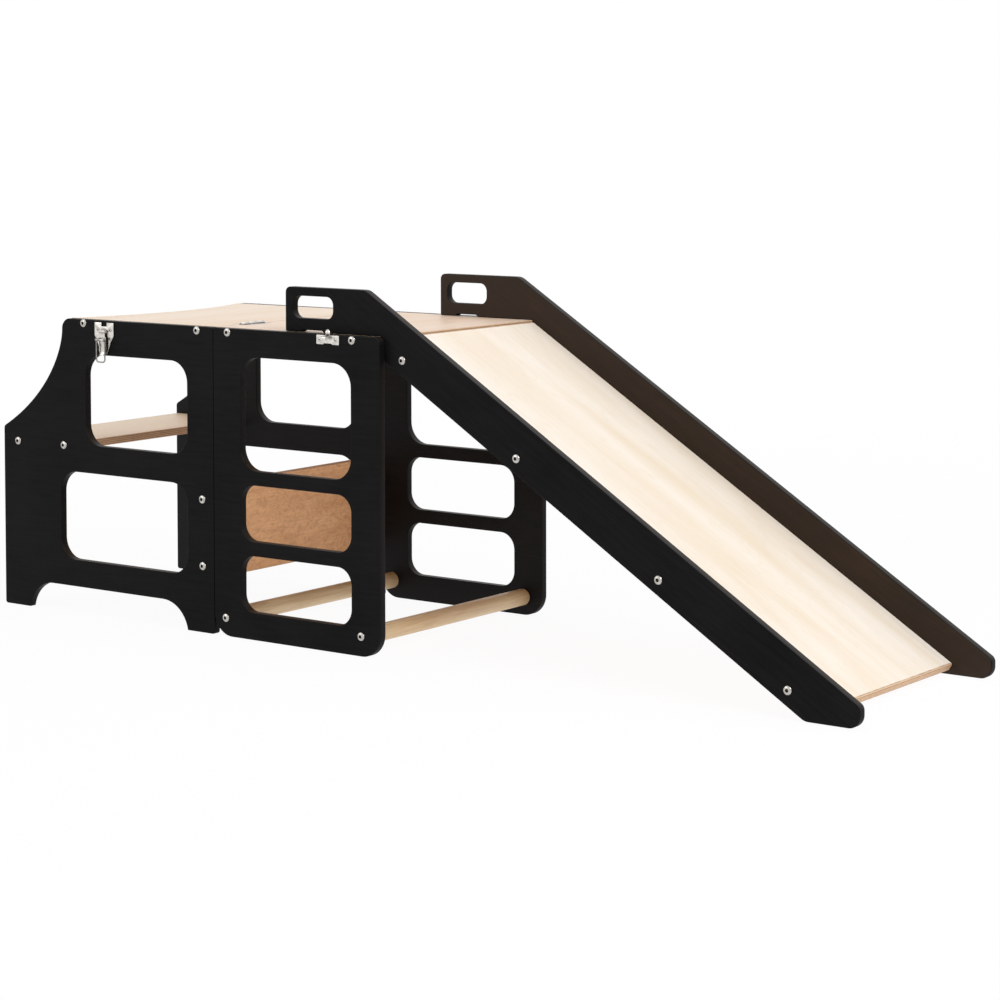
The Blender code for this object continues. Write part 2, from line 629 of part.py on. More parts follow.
def make_keeper(side, sign, parts, cutters, pivot):
    """Plate with two ears, a hook that faces away from the seam and a rounded tongue above the edge."""
    place = placer(-LATCH_X, sign)
    low_z, high_z = KEEPER_Z
    ears = rounded([(-KEEPER_HALF, low_z, 0.001), (-0.0085, low_z, 0.002), (-0.0060, low_z + 0.0016, 0.001),
                    (0.0060, low_z + 0.0016, 0.001), (0.0085, low_z, 0.002), (KEEPER_HALF, low_z, 0.001),
                    (KEEPER_HALF, high_z, 0.001), (TONGUE_RADIUS, high_z, 0.0), (TONGUE_RADIUS, TONGUE_Z, 0.0044),
                    (-TONGUE_RADIUS, TONGUE_Z, 0.0044), (-TONGUE_RADIUS, high_z, 0.0), (-KEEPER_HALF, high_z, 0.001)])
    keeper = front("keeper_" + side, [ears], GAP, GAP + SHEET, parts, place, NICKEL)
    dome = bpy.data.meshes.new("keeper_dome_" + side)
    work = bmesh.new()
    bmesh.ops.create_uvsphere(work, u_segments=16, v_segments=10, radius=TONGUE_RADIUS)
    squash = Matrix.Diagonal((1.0, (TONGUE_OUT - GAP) / TONGUE_RADIUS, 1.0, 1.0))
    bmesh.ops.transform(work, matrix=Matrix.Translation((0.0, -GAP, TONGUE_Z)) @ squash, verts=work.verts)
    cut = bmesh.ops.bisect_plane(work, geom=work.verts[:] + work.edges[:] + work.faces[:], dist=1e-6,
                                 plane_co=(0.0, -GAP - 0.0001, 0.0), plane_no=(0.0, 1.0, 0.0), clear_outer=True)
    rim = [edge for edge in cut["geom_cut"] if isinstance(edge, bmesh.types.BMEdge)]
    bmesh.ops.holes_fill(work, edges=rim)
    bmesh.ops.recalc_face_normals(work, faces=work.faces)
    work.to_mesh(dome)
    work.free()
    combine(keeper, place("keeper_dome_" + side, dome, cutters, None), "UNION")
    throat = 2 * HINGE_Z - (BAIL_PIN_Z + BAIL_LENGTH)
    floor_z = throat + BAIL_WIRE + GAP
    lip = BAIL_PIN_OUT + BAIL_WIRE + GAP
    root = GAP + SHEET / 2
    hook = rounded([(root, floor_z, 0.0), (lip, floor_z, 0.0008), (lip, floor_z - 0.0042, 0.0),
                    (lip + SHEET, floor_z - 0.0046, 0.0), (lip + SHEET, floor_z + SHEET, 0.0016),
                    (root, floor_z + SHEET, 0.0)])
    combine(keeper, fitting("keeper_hook_" + side, [hook], -HOOK_HALF, HOOK_HALF, cutters, place), "UNION")
    parent_keep(keeper, pivot)


def main():
    clear_scene()
    parts = new_collection("learning_tower_with_slide")
    cutters = new_collection("cutters")
    fold = add_pivot("pivot_fold", (SEAM_X, 0.0, HINGE_Z), parts)
    foot = add_pivot("pivot_slide_foot", (SEAM_X + SLIDE_END, 0.0, 0.0), parts)
    base_board = make_base(parts)
    table_board = make_frame(parts, fold)
    make_slide(parts, foot)
    for side, sign in (("right", -1), ("left", 1)):
        make_hinge(side, sign, parts, cutters, base_board, table_board, fold)
        make_latch(side, sign, parts, cutters)
        make_keeper(side, sign, parts, cutters, fold)


main()
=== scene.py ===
import bmesh
import bpy
import math
from mathutils import Matrix, Vector
from mathutils.geometry import interpolate_bezier


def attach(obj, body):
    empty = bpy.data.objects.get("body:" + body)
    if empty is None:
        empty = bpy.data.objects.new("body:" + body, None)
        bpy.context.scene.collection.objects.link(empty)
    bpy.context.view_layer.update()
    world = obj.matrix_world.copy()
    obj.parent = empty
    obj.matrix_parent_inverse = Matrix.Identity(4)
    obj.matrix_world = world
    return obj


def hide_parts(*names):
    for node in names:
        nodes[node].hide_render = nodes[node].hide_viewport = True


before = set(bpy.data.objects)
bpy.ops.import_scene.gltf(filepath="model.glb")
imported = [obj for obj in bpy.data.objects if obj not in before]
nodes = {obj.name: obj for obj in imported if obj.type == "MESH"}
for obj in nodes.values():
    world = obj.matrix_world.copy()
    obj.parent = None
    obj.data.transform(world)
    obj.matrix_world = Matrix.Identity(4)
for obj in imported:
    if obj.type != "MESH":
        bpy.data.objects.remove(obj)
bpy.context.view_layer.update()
print("frame loaded:", len(nodes), "nodes")

# sizes that several pieces share, in metres; outlines are drawn from the seam
overall = {"tableHeight": 0.450, "width": 0.401, "baseLength": 0.4374, "frameLength": 0.3104,
           "slideEnd": 1.0588, "ply": 0.012, "arris": 0.0008, "boardArris": 0.0008, "gap": 0.0003,
           "seamGap": 0.0005}
seamX = (overall["baseLength"] - overall["slideEnd"]) / 2
panelY = (overall["width"] - overall["ply"]) / 2
innerY = overall["width"] / 2 - overall["ply"] - overall["gap"]
slideSlope = math.radians(31.79)
stepBoard = {"x": (-0.434, -0.2905), "top": 0.261}
crossBoard = {"x": -0.0229, "z": (0.0775, 0.2176)}


# outlines and flat pieces

def arcPoints(centre, radius, start, end, step=7.5):
    count = max(2, round(abs(end - start) / math.radians(step)))
    return [(centre[0] + radius * math.cos(start + (end - start) * i / count),
             centre[1] + radius * math.sin(start + (end - start) * i / count)) for i in range(count + 1)]


def roundedLoop(corners):  # (u, v, radius) corners, each turned by an arc
    points = []
    for i, (u, v, radius) in enumerate(corners):
        if radius <= 0:
            points.append((u, v))
            continue
        here = Vector((u, v))
        before = (Vector(corners[i - 1][:2]) - here).normalized()
        after = (Vector(corners[(i + 1) % len(corners)][:2]) - here).normalized()
        half = before.angle(after) / 2
        centre = here + (before + after).normalized() * (radius / math.sin(half))
        first = here + before * (radius / math.tan(half)) - centre
        last = here + after * (radius / math.tan(half)) - centre
        sweep = (math.pi - 2 * half) * (1 if first.cross(last) > 0 else -1)
        start = math.atan2(first.y, first.x)
        points += arcPoints(centre, radius, start, start + sweep, 7.5 if radius > 0.008 else 15)
    return points


def windowLoop(lowU, lowV, highU, highV, radius):
    return roundedLoop([(lowU, lowV, radius), (highU, lowV, radius),
                        (highU, highV, radius), (lowU, highV, radius)])


def flatMesh(name, loops, thickness, arris, place):
    curve = bpy.data.curves.new(name, "CURVE")
    curve.dimensions = "2D"
    curve.fill_mode = "BOTH"
    curve.extrude = thickness / 2 - arris
    curve.bevel_depth = arris
    curve.bevel_resolution = 3
    curve.offset = -arris
    for loop in loops:
        spline = curve.splines.new("POLY")
        spline.points.add(len(loop) - 1)
        for point, (u, v) in zip(spline.points, loop):
            point.co = (u, v, 0, 1)
        spline.use_cyclic_u = True
    mesh = meshFromData(name, curve)
    mesh.transform(place)
    return mesh


def meshFromData(name, data):  # evaluated curve as a closed mesh with clean normals
    item = bpy.data.objects.new(name + "Draft", data)
    bpy.context.scene.collection.objects.link(item)
    bpy.context.view_layer.update()
    mesh = bpy.data.meshes.new_from_object(item.evaluated_get(bpy.context.evaluated_depsgraph_get()))
    bpy.data.objects.remove(item)
    mesh.name = name
    mesh.materials.clear()
    tidyMesh(mesh)
    return mesh


def tidyMesh(mesh, merge=0.00001):
    work = bmesh.new()
    work.from_mesh(mesh)
    bmesh.ops.remove_doubles(work, verts=work.verts, dist=merge)
    bmesh.ops.dissolve_degenerate(work, edges=work.edges, dist=0.000001)
    bmesh.ops.recalc_face_normals(work, faces=work.faces)
    work.to_mesh(mesh)
    work.free()


def splitFaces(mesh, normal, faceFinish, edgeFinish, backFinish=None, sharpAngle=35):
    # broad faces take the first material, or the third on the back, and edges the second;
    # the lines between them stay crisp
    for finish in (faceFinish, edgeFinish, backFinish):
        if finish:
            mesh.materials.append(finish)
    normal = Vector(normal).normalized()
    work = bmesh.new()
    work.from_mesh(mesh)
    for face in work.faces:
        face.smooth = True
        facing = face.normal.dot(normal)
        face.material_index = 0 if abs(facing) > 0.999 else 1
        if backFinish and facing < -0.999:
            face.material_index = 2
    for edge in work.edges:
        if len(edge.link_faces) == 2:
            a, b = edge.link_faces
            turned = a.normal.angle(b.normal, 0) > math.radians(sharpAngle)
            edge.smooth = not (turned or a.material_index != b.material_index)
    work.to_mesh(mesh)
    work.free()


def addPiece(name, mesh, body, slotName, *replaced):
    piece = bpy.data.objects.new(name, mesh)
    bpy.context.scene.collection.objects.link(piece)
    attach(piece, body)
    if replaced:
        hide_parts(*replaced)
    return piece


def upright(y):  # outline plane stands along X, facing the sides
    return Matrix.Translation((seamX, y, 0)) @ Matrix.Rotation(math.pi / 2, 4, "X")


def level(z):
    return Matrix.Translation((seamX, 0, z))


# materials

def newMaterial(name):
    material = bpy.data.materials.new(name)
    material.use_nodes = True
    tree = material.node_tree
    shader = tree.nodes["Principled BSDF"]
    return material, tree, shader


def addNode(tree, kind, inputs=None, **settings):
    node = tree.nodes.new(kind)
    for key, value in settings.items():
        setattr(node, key, value)
    for key, value in (inputs or {}).items():
        if isinstance(value, bpy.types.NodeSocket):
            tree.links.new(value, node.inputs[key])
        else:
            node.inputs[key].default_value = value
    return node


def objectSpace(tree, scale=(1, 1, 1), turn=(0, 0, 0), move=(0, 0, 0)):
    # coordinates in the piece's own metres, turned and then stretched
    coords = addNode(tree, "ShaderNodeTexCoord")
    turned = addNode(tree, "ShaderNodeMapping",
                     {"Vector": coords.outputs["Object"], "Location": move, "Rotation": turn})
    stretched = addNode(tree, "ShaderNodeVectorMath", {0: turned.outputs["Vector"], 1: scale},
                        operation="MULTIPLY")
    return stretched.outputs["Vector"]


def noise(tree, vector, scale, detail=3.0, roughness=0.5, distortion=0.0):
    node = addNode(tree, "ShaderNodeTexNoise", {"Vector": vector, "Scale": scale, "Detail": detail,
                                                "Roughness": roughness, "Distortion": distortion})
    return node.outputs["Fac"]


def ramp(tree, value, stops):
    node = addNode(tree, "ShaderNodeValToRGB", {"Fac": value})
    while len(node.color_ramp.elements) < len(stops):
        node.color_ramp.elements.new(0.5)
    for element, (place, colour) in zip(node.color_ramp.elements, stops):
        element.position = place
        element.color = (*colour, 1) if len(colour) == 3 else colour
    return node.outputs["Color"]


def grey(value):
    return (value, value, value)


def calc(tree, operation, a, b=0.0, c=0.0):
    return addNode(tree, "ShaderNodeMath", {0: a, 1: b, 2: c}, operation=operation).outputs[0]


def blendColour(tree, factor, a, b, mode="MIX"):
    node = addNode(tree, "ShaderNodeMix", data_type="RGBA", blend_type=mode)
    for key, value in ((0, factor), (6, a), (7, b)):
        if isinstance(value, bpy.types.NodeSocket):
            tree.links.new(value, node.inputs[key])
        elif key == 0:
            node.inputs[key].default_value = value
        else:
            node.inputs[key].default_value = (*value, 1)
    return node.outputs[2]


def remap(tree, value, low, high, toLow, toHigh):
    node = addNode(tree, "ShaderNodeMapRange", {"Value": value, "From Min": low, "From Max": high,
                                                "To Min": toLow, "To Max": toHigh})
    return node.outputs["Result"]


def surface(tree, shader, colour=None, roughness=None, height=None, strength=0.1, distance=0.001):
    if colour is not None:
        tree.links.new(colour, shader.inputs["Base Color"])
    if roughness is not None:
        tree.links.new(roughness, shader.inputs["Roughness"])
    if height is not None:
        bump = addNode(tree, "ShaderNodeBump", {"Height": height, "Strength": strength, "Distance": distance})
        tree.links.new(bump.outputs["Normal"], shader.inputs["Normal"])


bumpDepth = {"lacquer": 0.0004, "wood": 0.0003, "metal": 0.0002}
blackPaint = {"dark": (0.0026, 0.0023, 0.0025), "light": (0.0075, 0.0068, 0.0071),
              # the next two colours are painted top light: a lighter, browner black for edges that face up
              "topLitEdgeDark": (0.0060, 0.0050, 0.0044), "topLitEdgeLight": (0.0160, 0.0120, 0.0092),
              # the next two colours are painted bounce light: a warmer, lighter black for the slide rails'
              # inner faces, beside the pale board
              "boardBounceDark": (0.0130, 0.0062, 0.0024), "boardBounceLight": (0.0260, 0.0124, 0.0050),
              "roughness": (0.44, 0.58), "grainScale": 260.0, "patchScale": 9, "sprayScale": 1400,
              "upward": (0.10, 0.80), "levels": (0.35, 0.68), "edgeSmoother": 0.08,
              "bump": 0.14, "edgeBump": 0.10}
blackGloss = {"face": 0.06, "inner": 0.12, "railInner": 0.24, "edge": 0.20, "side": 0.07}


def makeBlack(name, place, turn=(0, 0, 0)):
    # thin black stain lacquer over plywood: the grain still shows as fine lines
    edge = place == "edge"
    material, tree, shader = newMaterial(name)
    grainSpace = objectSpace(tree, (0.06, 1, 1), turn)
    grain = noise(tree, grainSpace, blackPaint["grainScale"], 4, 0.6)
    patches = noise(tree, objectSpace(tree, (1, 1, 1), turn), blackPaint["patchScale"], 3)
    spray = noise(tree, objectSpace(tree), blackPaint["sprayScale"], 2)
    mixed = calc(tree, "MULTIPLY_ADD", grain, 0.6, calc(tree, "MULTIPLY", patches, 0.4))
    dark, light = blackPaint["dark"], blackPaint["light"]
    # painted bounce light: the rails' inner faces take the warmer, lighter pair instead of the plain black
    if place == "railInner":
        dark, light = blackPaint["boardBounceDark"], blackPaint["boardBounceLight"]
    low, high = blackPaint["levels"]
    colour = ramp(tree, mixed, [(low, dark), (high, light)])
    if edge:
        # edges that face up in the piece's own space are painted lighter and browner, a painted top light,
        # with a soft change round each corner
        normal = addNode(tree, "ShaderNodeTexCoord").outputs["Normal"]
        rise = addNode(tree, "ShaderNodeSeparateXYZ", {0: normal}).outputs["Z"]
        upward = remap(tree, rise, *blackPaint["upward"], 0.0, 1.0)
        upper = ramp(tree, mixed, [(low, blackPaint["topLitEdgeDark"]), (high, blackPaint["topLitEdgeLight"])])
        colour = blendColour(tree, upward, colour, upper)
    smooth, coarse = blackPaint["roughness"]
    rough = remap(tree, mixed, 0.3, 0.7, smooth - (blackPaint["edgeSmoother"] if edge else 0), coarse)
    height = calc(tree, "MULTIPLY_ADD", grain, 0.7, calc(tree, "MULTIPLY", spray, 0.3))
    strength = blackPaint["edgeBump" if edge else "bump"]
    surface(tree, shader, colour, rough, height, strength, bumpDepth["lacquer"])
    if edge:
        gloss = remap(tree, upward, 0.0, 1.0, blackGloss["side"], blackGloss["edge"])
        tree.links.new(gloss, shader.inputs["Specular IOR Level"])
    else:
        shader.inputs["Specular IOR Level"].default_value = blackGloss[place]
    return material


paleBirch = {"pale": (0.885, 0.785, 0.670), "pink": (0.850, 0.725, 0.595), "honey": (0.800, 0.655, 0.490),
             "fleck": (0.600, 0.410, 0.240), "knot": (0.300, 0.150, 0.065)}
# tints of the same birch for each board; the table's darker tint is painted shade under the slide's handle
birchTint = {"top": (1.01, 0.97, 0.95), "table": (0.97, 0.88, 0.85), "step": (1.05, 0.97, 0.87),
             "slide": (1.00, 1.05, 1.11), "cross": (1.09, 1.10, 1.12)}
# painted shade: a darker, warmer copy of the birch for faces in shade, the board undersides and the cross
# board
shadedBirch = {"pale": (0.760, 0.470, 0.255), "pink": (0.680, 0.400, 0.205), "honey": (0.560, 0.305, 0.142),
             "fleck": (0.400, 0.200, 0.088), "knot": (0.110, 0.045, 0.018)}
veneer = {"cloudScale": 14, "bandScale": 6.5, "ringCount": 9.0, "fibreScale": 420, "fleckScale": 260,
          "mottleScale": 110, "ringShare": 0.30, "ringLimit": 1.3, "fibreShare": 0.11, "fleckShare": 0.30,
          "mottleShare": 0.26, "knotShare": 0.75, "haloShare": 0.30, "roughness": (0.36, 0.50),
          "bump": 0.05, "gloss": 0.35}


def tinted(look, tint):
    return {part: tuple(value * share for value, share in zip(colour, tint)) for part, colour in look.items()}


def makeBirch(name, look, stretch, turn=(0, 0, 0), move=(0, 0, 0), knotAmount=1.0, figure=1.0,
              knotShare=0.28, knotScale=13.0):
    # rotary-cut birch veneer: cloudy bands, short flecks, rare pin knots; stretch is small along the
    # grain, and a figure above 1 adds a mottle
    material, tree, shader = newMaterial(name)
    clouds = noise(tree, objectSpace(tree, stretch, turn, move), veneer["cloudScale"], 4, 0.55, 0.9)
    bandsSpace = objectSpace(tree, tuple(0.25 + 0.75 * s for s in stretch), turn, move)
    bands = noise(tree, bandsSpace, veneer["bandScale"], 2, 0.5, 2.2)
    rings = calc(tree, "FRACT", calc(tree, "MULTIPLY", bands, veneer["ringCount"]))
    rings = calc(tree, "ABSOLUTE", calc(tree, "SUBTRACT", rings, 0.5))
    fibreSpace = objectSpace(tree, tuple(s if s > 0.5 else s * 0.25 for s in stretch), turn, move)
    fibres = noise(tree, fibreSpace, veneer["fibreScale"], 3, 0.65)
    fleckSpace = objectSpace(tree, tuple(1.0 if s > 0.5 else 0.22 for s in stretch), turn, move)
    flecks = remap(tree, noise(tree, fleckSpace, veneer["fleckScale"], 2, 0.5), 0.66, 0.78, 0, 1)
    colour = ramp(tree, clouds, [(0.30, look["honey"]), (0.50, look["pink"]), (0.72, look["pale"])])
    ringShare = remap(tree, rings, 0.0, 0.16, veneer["ringShare"] * min(figure, veneer["ringLimit"]), 0.0)
    colour = blendColour(tree, ringShare, colour, look["honey"])
    fibreShare = remap(tree, fibres, 0.35, 0.70, veneer["fibreShare"] * figure, 0.0)
    colour = blendColour(tree, fibreShare, colour, look["fleck"])
    fleckShare = calc(tree, "MULTIPLY", flecks, veneer["fleckShare"] * figure)
    colour = blendColour(tree, fleckShare, colour, look["fleck"])
    if figure > 1:
        mottleSpace = objectSpace(tree, tuple(0.5 + 0.5 * s for s in stretch), turn, move)
        mottle = noise(tree, mottleSpace, veneer["mottleScale"], 5, 0.75, 1.6)
        mottleShare = remap(tree, mottle, 0.38, 0.54, veneer["mottleShare"] * (figure - 1), 0.0)
        colour = blendColour(tree, mottleShare, colour, look["fleck"])
    knotSpace = objectSpace(tree, tuple(1.0 if s > 0.5 else 0.45 for s in stretch), turn, move)
    knots = addNode(tree, "ShaderNodeTexVoronoi",
                    {"Vector": knotSpace, "Scale": knotScale, "Randomness": 1.0})
    chance = addNode(tree, "ShaderNodeSeparateColor", {"Color": knots.outputs["Color"]}).outputs[0]
    rare = calc(tree, "GREATER_THAN", chance, 1 - knotShare)
    wobble = calc(tree, "MULTIPLY_ADD", fibres, 0.03, knots.outputs["Distance"])
    core = remap(tree, wobble, 0.030, 0.055, veneer["knotShare"] * knotAmount, 0.0)
    core = calc(tree, "MULTIPLY", core, rare)
    halo = remap(tree, wobble, 0.05, 0.22, veneer["haloShare"] * knotAmount, 0.0)
    halo = calc(tree, "MULTIPLY", halo, rare)
    colour = blendColour(tree, halo, colour, look["honey"])
    colour = blendColour(tree, core, colour, look["knot"])
    rough = remap(tree, fibres, 0.3, 0.7, *veneer["roughness"])
    surface(tree, shader, colour, rough, fibres, veneer["bump"], bumpDepth["wood"])
    shader.inputs["Specular IOR Level"].default_value = veneer["gloss"]
    return material


plyLook = {"layer": overall["ply"] / 9, "light": (0.640, 0.450, 0.290), "dark": (0.330, 0.185, 0.100),
           "glue": (0.110, 0.056, 0.030), "wanderScale": 60, "wander": 0.0005, "poreScale": 1500,
           # the last value darkens the step board's ply edge as painted shade
           "streakScale": 140, "bump": 0.12, "stepEdgeShade": 0.84}


def makePlyEdge(name, normal, top, shadeFactor=1.0):
    # layers counted down from the board's upper face, long-grain and end-grain plies by turns
    material, tree, shader = newMaterial(name)
    coords = objectSpace(tree)
    along = addNode(tree, "ShaderNodeVectorMath", {0: coords, 1: tuple(Vector(normal).normalized())},
                    operation="DOT_PRODUCT")
    wander = calc(tree, "SUBTRACT", noise(tree, coords, plyLook["wanderScale"], 2), 0.5)
    wander = calc(tree, "MULTIPLY", wander, plyLook["wander"])
    depth = calc(tree, "ADD", calc(tree, "SUBTRACT", top, along.outputs["Value"]), wander)
    layers = calc(tree, "DIVIDE", depth, plyLook["layer"])
    within = calc(tree, "FRACT", layers)
    pair = calc(tree, "FRACT", calc(tree, "MULTIPLY", calc(tree, "FLOOR", layers), 0.5))
    endGrain = calc(tree, "GREATER_THAN", pair, 0.25)
    pores = noise(tree, coords, plyLook["poreScale"], 2, 0.6)
    streaks = noise(tree, coords, plyLook["streakScale"], 3, 0.6)
    colour = blendColour(tree, endGrain, plyLook["light"], plyLook["dark"])
    colour = blendColour(tree, remap(tree, pores, 0.40, 0.65, 0.35, 0.0), colour, plyLook["dark"])
    colour = blendColour(tree, remap(tree, streaks, 0.45, 0.75, 0.0, 0.35), colour, plyLook["light"])
    edge = calc(tree, "ABSOLUTE", calc(tree, "SUBTRACT", within, 0.5))
    colour = blendColour(tree, remap(tree, edge, 0.43, 0.48, 0.0, 0.75), colour, plyLook["glue"])
    # painted shade: a darkening factor over the whole edge, used for the step board's edge in shade
    if shadeFactor != 1.0:
        colour = blendColour(tree, 1.0, colour, grey(shadeFactor), "MULTIPLY")
    rough = remap(tree, pores, 0.3, 0.7, 0.5, 0.7)
    surface(tree, shader, colour, rough, pores, plyLook["bump"], bumpDepth["wood"])
    return material


dowelLook = {"pale": (0.560, 0.445, 0.290), "warm": (0.450, 0.325, 0.185), "streak": (0.320, 0.210, 0.105),
             "bandScale": 150, "fibreScale": 900, "bump": 0.07}


def makeDowelWood(name):
    material, tree, shader = newMaterial(name)
    bands = noise(tree, objectSpace(tree, (1, 0.05, 1)), dowelLook["bandScale"], 3, 0.6, 0.6)
    fibres = noise(tree, objectSpace(tree, (1, 0.03, 1)), dowelLook["fibreScale"], 3, 0.6)
    colour = ramp(tree, bands, [(0.32, dowelLook["warm"]), (0.62, dowelLook["pale"])])
    colour = blendColour(tree, remap(tree, fibres, 0.55, 0.75, 0.0, 0.35), colour, dowelLook["streak"])
    rough = remap(tree, fibres, 0.3, 0.7, 0.40, 0.55)
    surface(tree, shader, colour, rough, fibres, dowelLook["bump"], bumpDepth["wood"])
    return material


# recess is the colour of the painted shade in crevices and screw sockets
nickelLook = {"bright": (0.780, 0.755, 0.715), "dull": (0.480, 0.450, 0.410), "roughness": (0.16, 0.34),
              "recess": (0.060, 0.042, 0.032), "crevice": 0.006, "cloudScale": 220, "lineScale": 1900,
              "scuffScale": 700, "bump": 0.06}
# the screws get a darker copy of the nickel, a painted reflection of darker surroundings; the bail wire's
# copy is darker still
nickelShade = {"screw": 0.74, "hinge": 1.0, "wire": 0.42}


def makeNickel(name, darker=1.0):
    # plated stampings: soft clouding, fine rolling lines, small handling marks
    material, tree, shader = newMaterial(name)
    clouds = noise(tree, objectSpace(tree), nickelLook["cloudScale"], 4, 0.6)
    lines = noise(tree, objectSpace(tree, (1, 1, 0.08)), nickelLook["lineScale"], 2, 0.6)
    scuffs = noise(tree, objectSpace(tree, (1, 1, 1), (0.4, 0.2, 0.9)), nickelLook["scuffScale"], 3, 0.7)
    marks = remap(tree, scuffs, 0.60, 0.72, 0, 1)
    bright = tuple(value * darker for value in nickelLook["bright"])
    dull = tuple(value * darker for value in nickelLook["dull"])
    colour = ramp(tree, clouds, [(0.30, dull), (0.60, bright)])
    # painted shade: ambient occlusion darkens crevices toward the recess colour
    shade = addNode(tree, "ShaderNodeAmbientOcclusion", {"Distance": nickelLook["crevice"]}, samples=8)
    creviceShade = remap(tree, shade.outputs["AO"], 0.40, 1.0, 0.95, 0.0)
    colour = blendColour(tree, creviceShade, colour, nickelLook["recess"])
    # painted shade: screw socket vertices marked by the recess attribute take the recess colour
    recess = addNode(tree, "ShaderNodeAttribute", attribute_name="recess").outputs["Fac"]
    colour = blendColour(tree, recess, colour, nickelLook["recess"])
    low, high = nickelLook["roughness"]
    rough = calc(tree, "MULTIPLY_ADD", marks, 0.14, remap(tree, clouds, 0.3, 0.7, high, low))
    height = calc(tree, "MULTIPLY_ADD", lines, 0.5, clouds)
    surface(tree, shader, colour, rough, height, nickelLook["bump"], bumpDepth["metal"])
    shader.inputs["Metallic"].default_value = 1.0
    return material


slopeTurn = (0, -slideSlope, 0)
blackFlat = makeBlack("blackLacquer", "face")
blackFlatInner = makeBlack("blackLacquerInner", "inner")
blackFlatEdge = makeBlack("blackLacquerEdge", "edge")
blackSlope = makeBlack("blackLacquerSlope", "face", slopeTurn)
blackSlopeInner = makeBlack("blackLacquerSlopeInner", "railInner", slopeTurn)
blackSlopeEdge = makeBlack("blackLacquerSlopeEdge", "edge", slopeTurn)
topFace = makeBirch("birchTop", tinted(paleBirch, birchTint["top"]), (1, 0.12, 1))
tableFace = makeBirch("birchTable", tinted(paleBirch, birchTint["table"]), (1, 0.12, 1), move=(0.7, 0.3, 0))
stepFace = makeBirch("birchStep", tinted(paleBirch, birchTint["step"]), (1, 0.12, 1), move=(0.2, 0.9, 0.4))
# the cross board and every underside use the darker birch copy, painted shade
crossFace = makeBirch("birchCross", tinted(shadedBirch, birchTint["cross"]), (1, 0.16, 1), move=(0.1, 0.5, 0.8),
                      knotAmount=1.33, figure=3.2, knotShare=0.60, knotScale=20.0)
underFace = makeBirch("birchUnderside", shadedBirch, (1, 0.14, 1), move=(0.6, 0.1, 0.3))
slideFace = makeBirch("birchSlide", tinted(paleBirch, birchTint["slide"]), (0.12, 1, 1), slopeTurn,
                      move=(0.5, 0.2, 0))
slideUnder = makeBirch("birchSlideUnderside", shadedBirch, (0.12, 1, 1), slopeTurn, move=(0.1, 0.4, 0))
slideNormal = (math.sin(slideSlope), 0, math.cos(slideSlope))
levelEdge = makePlyEdge("plyEdgeLevel", (0, 0, 1), overall["tableHeight"])
stepEdge = makePlyEdge("plyEdgeStep", (0, 0, 1), stepBoard["top"], plyLook["stepEdgeShade"])
crossEdge = makePlyEdge("plyEdgeCross", (1, 0, 0), seamX + crossBoard["x"] + overall["ply"] / 2)
dowelWood = makeDowelWood("dowelWood")
nickel = makeNickel("nickelPlate")
screwNickel = makeNickel("screwNickel", nickelShade["screw"])
hingeNickel = makeNickel("hingeNickel", nickelShade["hinge"])
wireNickel = makeNickel("wireNickel", nickelShade["wire"])
print("materials made")


# step base

baseShape = {"backX": -0.3093, "backTopRadius": 0.016, "sweepTop": (-0.3093, 0.433), "sweepTopHandle": 0.0249,
             "sweepFootZ": 0.277, "sweepFootHandle": 0.120, "sweepFootSlope": math.radians(28.62),
             "footLength": 0.0535, "archHeight": 0.041, "archRadius": 0.0508, "windowRadius": 0.032,
             "upperWindow": (-0.2600, 0.2590, -0.0520, 0.3972),
             "lowerWindow": (-0.3142, 0.0820, -0.0520, 0.2166),
             "seamRadius": 0.003, "kneeRadius": 0.006, "footRadius": 0.004}


def baseSideLoop():
    s = baseShape
    length, top, gap = overall["baseLength"], overall["tableHeight"], overall["seamGap"]
    start = Vector(s["sweepTop"])
    foot = Vector((-length, s["sweepFootZ"]))
    reach = Vector((math.cos(s["sweepFootSlope"]), math.sin(s["sweepFootSlope"]))) * s["sweepFootHandle"]
    sweep = interpolate_bezier(start, start - Vector((0, s["sweepTopHandle"])), foot + reach, foot, 33)
    corners = [(-gap, top, s["seamRadius"]), (s["backX"], top, s["backTopRadius"])]
    corners += [(point[0], point[1], 0) for point in sweep[:-1]]
    corners += [(-length, s["sweepFootZ"], s["kneeRadius"]), (-length, 0, s["footRadius"])]
    radius, height = s["archRadius"], s["archHeight"]
    rise = math.asin((radius - height) / radius)
    reachX = radius * math.cos(rise)
    left = (-length + s["footLength"] + reachX, height - radius)
    right = (-s["footLength"] - reachX, height - radius)
    corners += [(u, v, 0) for u, v in arcPoints(left, radius, math.pi - rise, math.pi / 2)]
    corners += [(u, v, 0) for u, v in arcPoints(right, radius, math.pi / 2, rise)]
    return roundedLoop(corners + [(-gap, 0, s["footRadius"])])


for side, sign in (("right", -1), ("left", 1)):
    loops = [baseSideLoop(), windowLoop(*baseShape["upperWindow"], baseShape["windowRadius"]),
             windowLoop(*baseShape["lowerWindow"], baseShape["windowRadius"])]
    mesh = flatMesh("basePanel_" + side, loops, overall["ply"], overall["arris"], upright(sign * panelY))
    splitFaces(mesh, (0, sign, 0), blackFlat, blackFlatEdge, blackFlatInner)
    addPiece("basePanel_" + side, mesh, "base", "black_panel", "base_side_" + side)

hingeSeat = {"y": 0.114, "length": 0.050, "leaf": 0.016, "sink": 0.0002, "thickness": 0.0015, "rise": 0.0002,
             "knuckle": 0.0032, "overcut": 0.002}


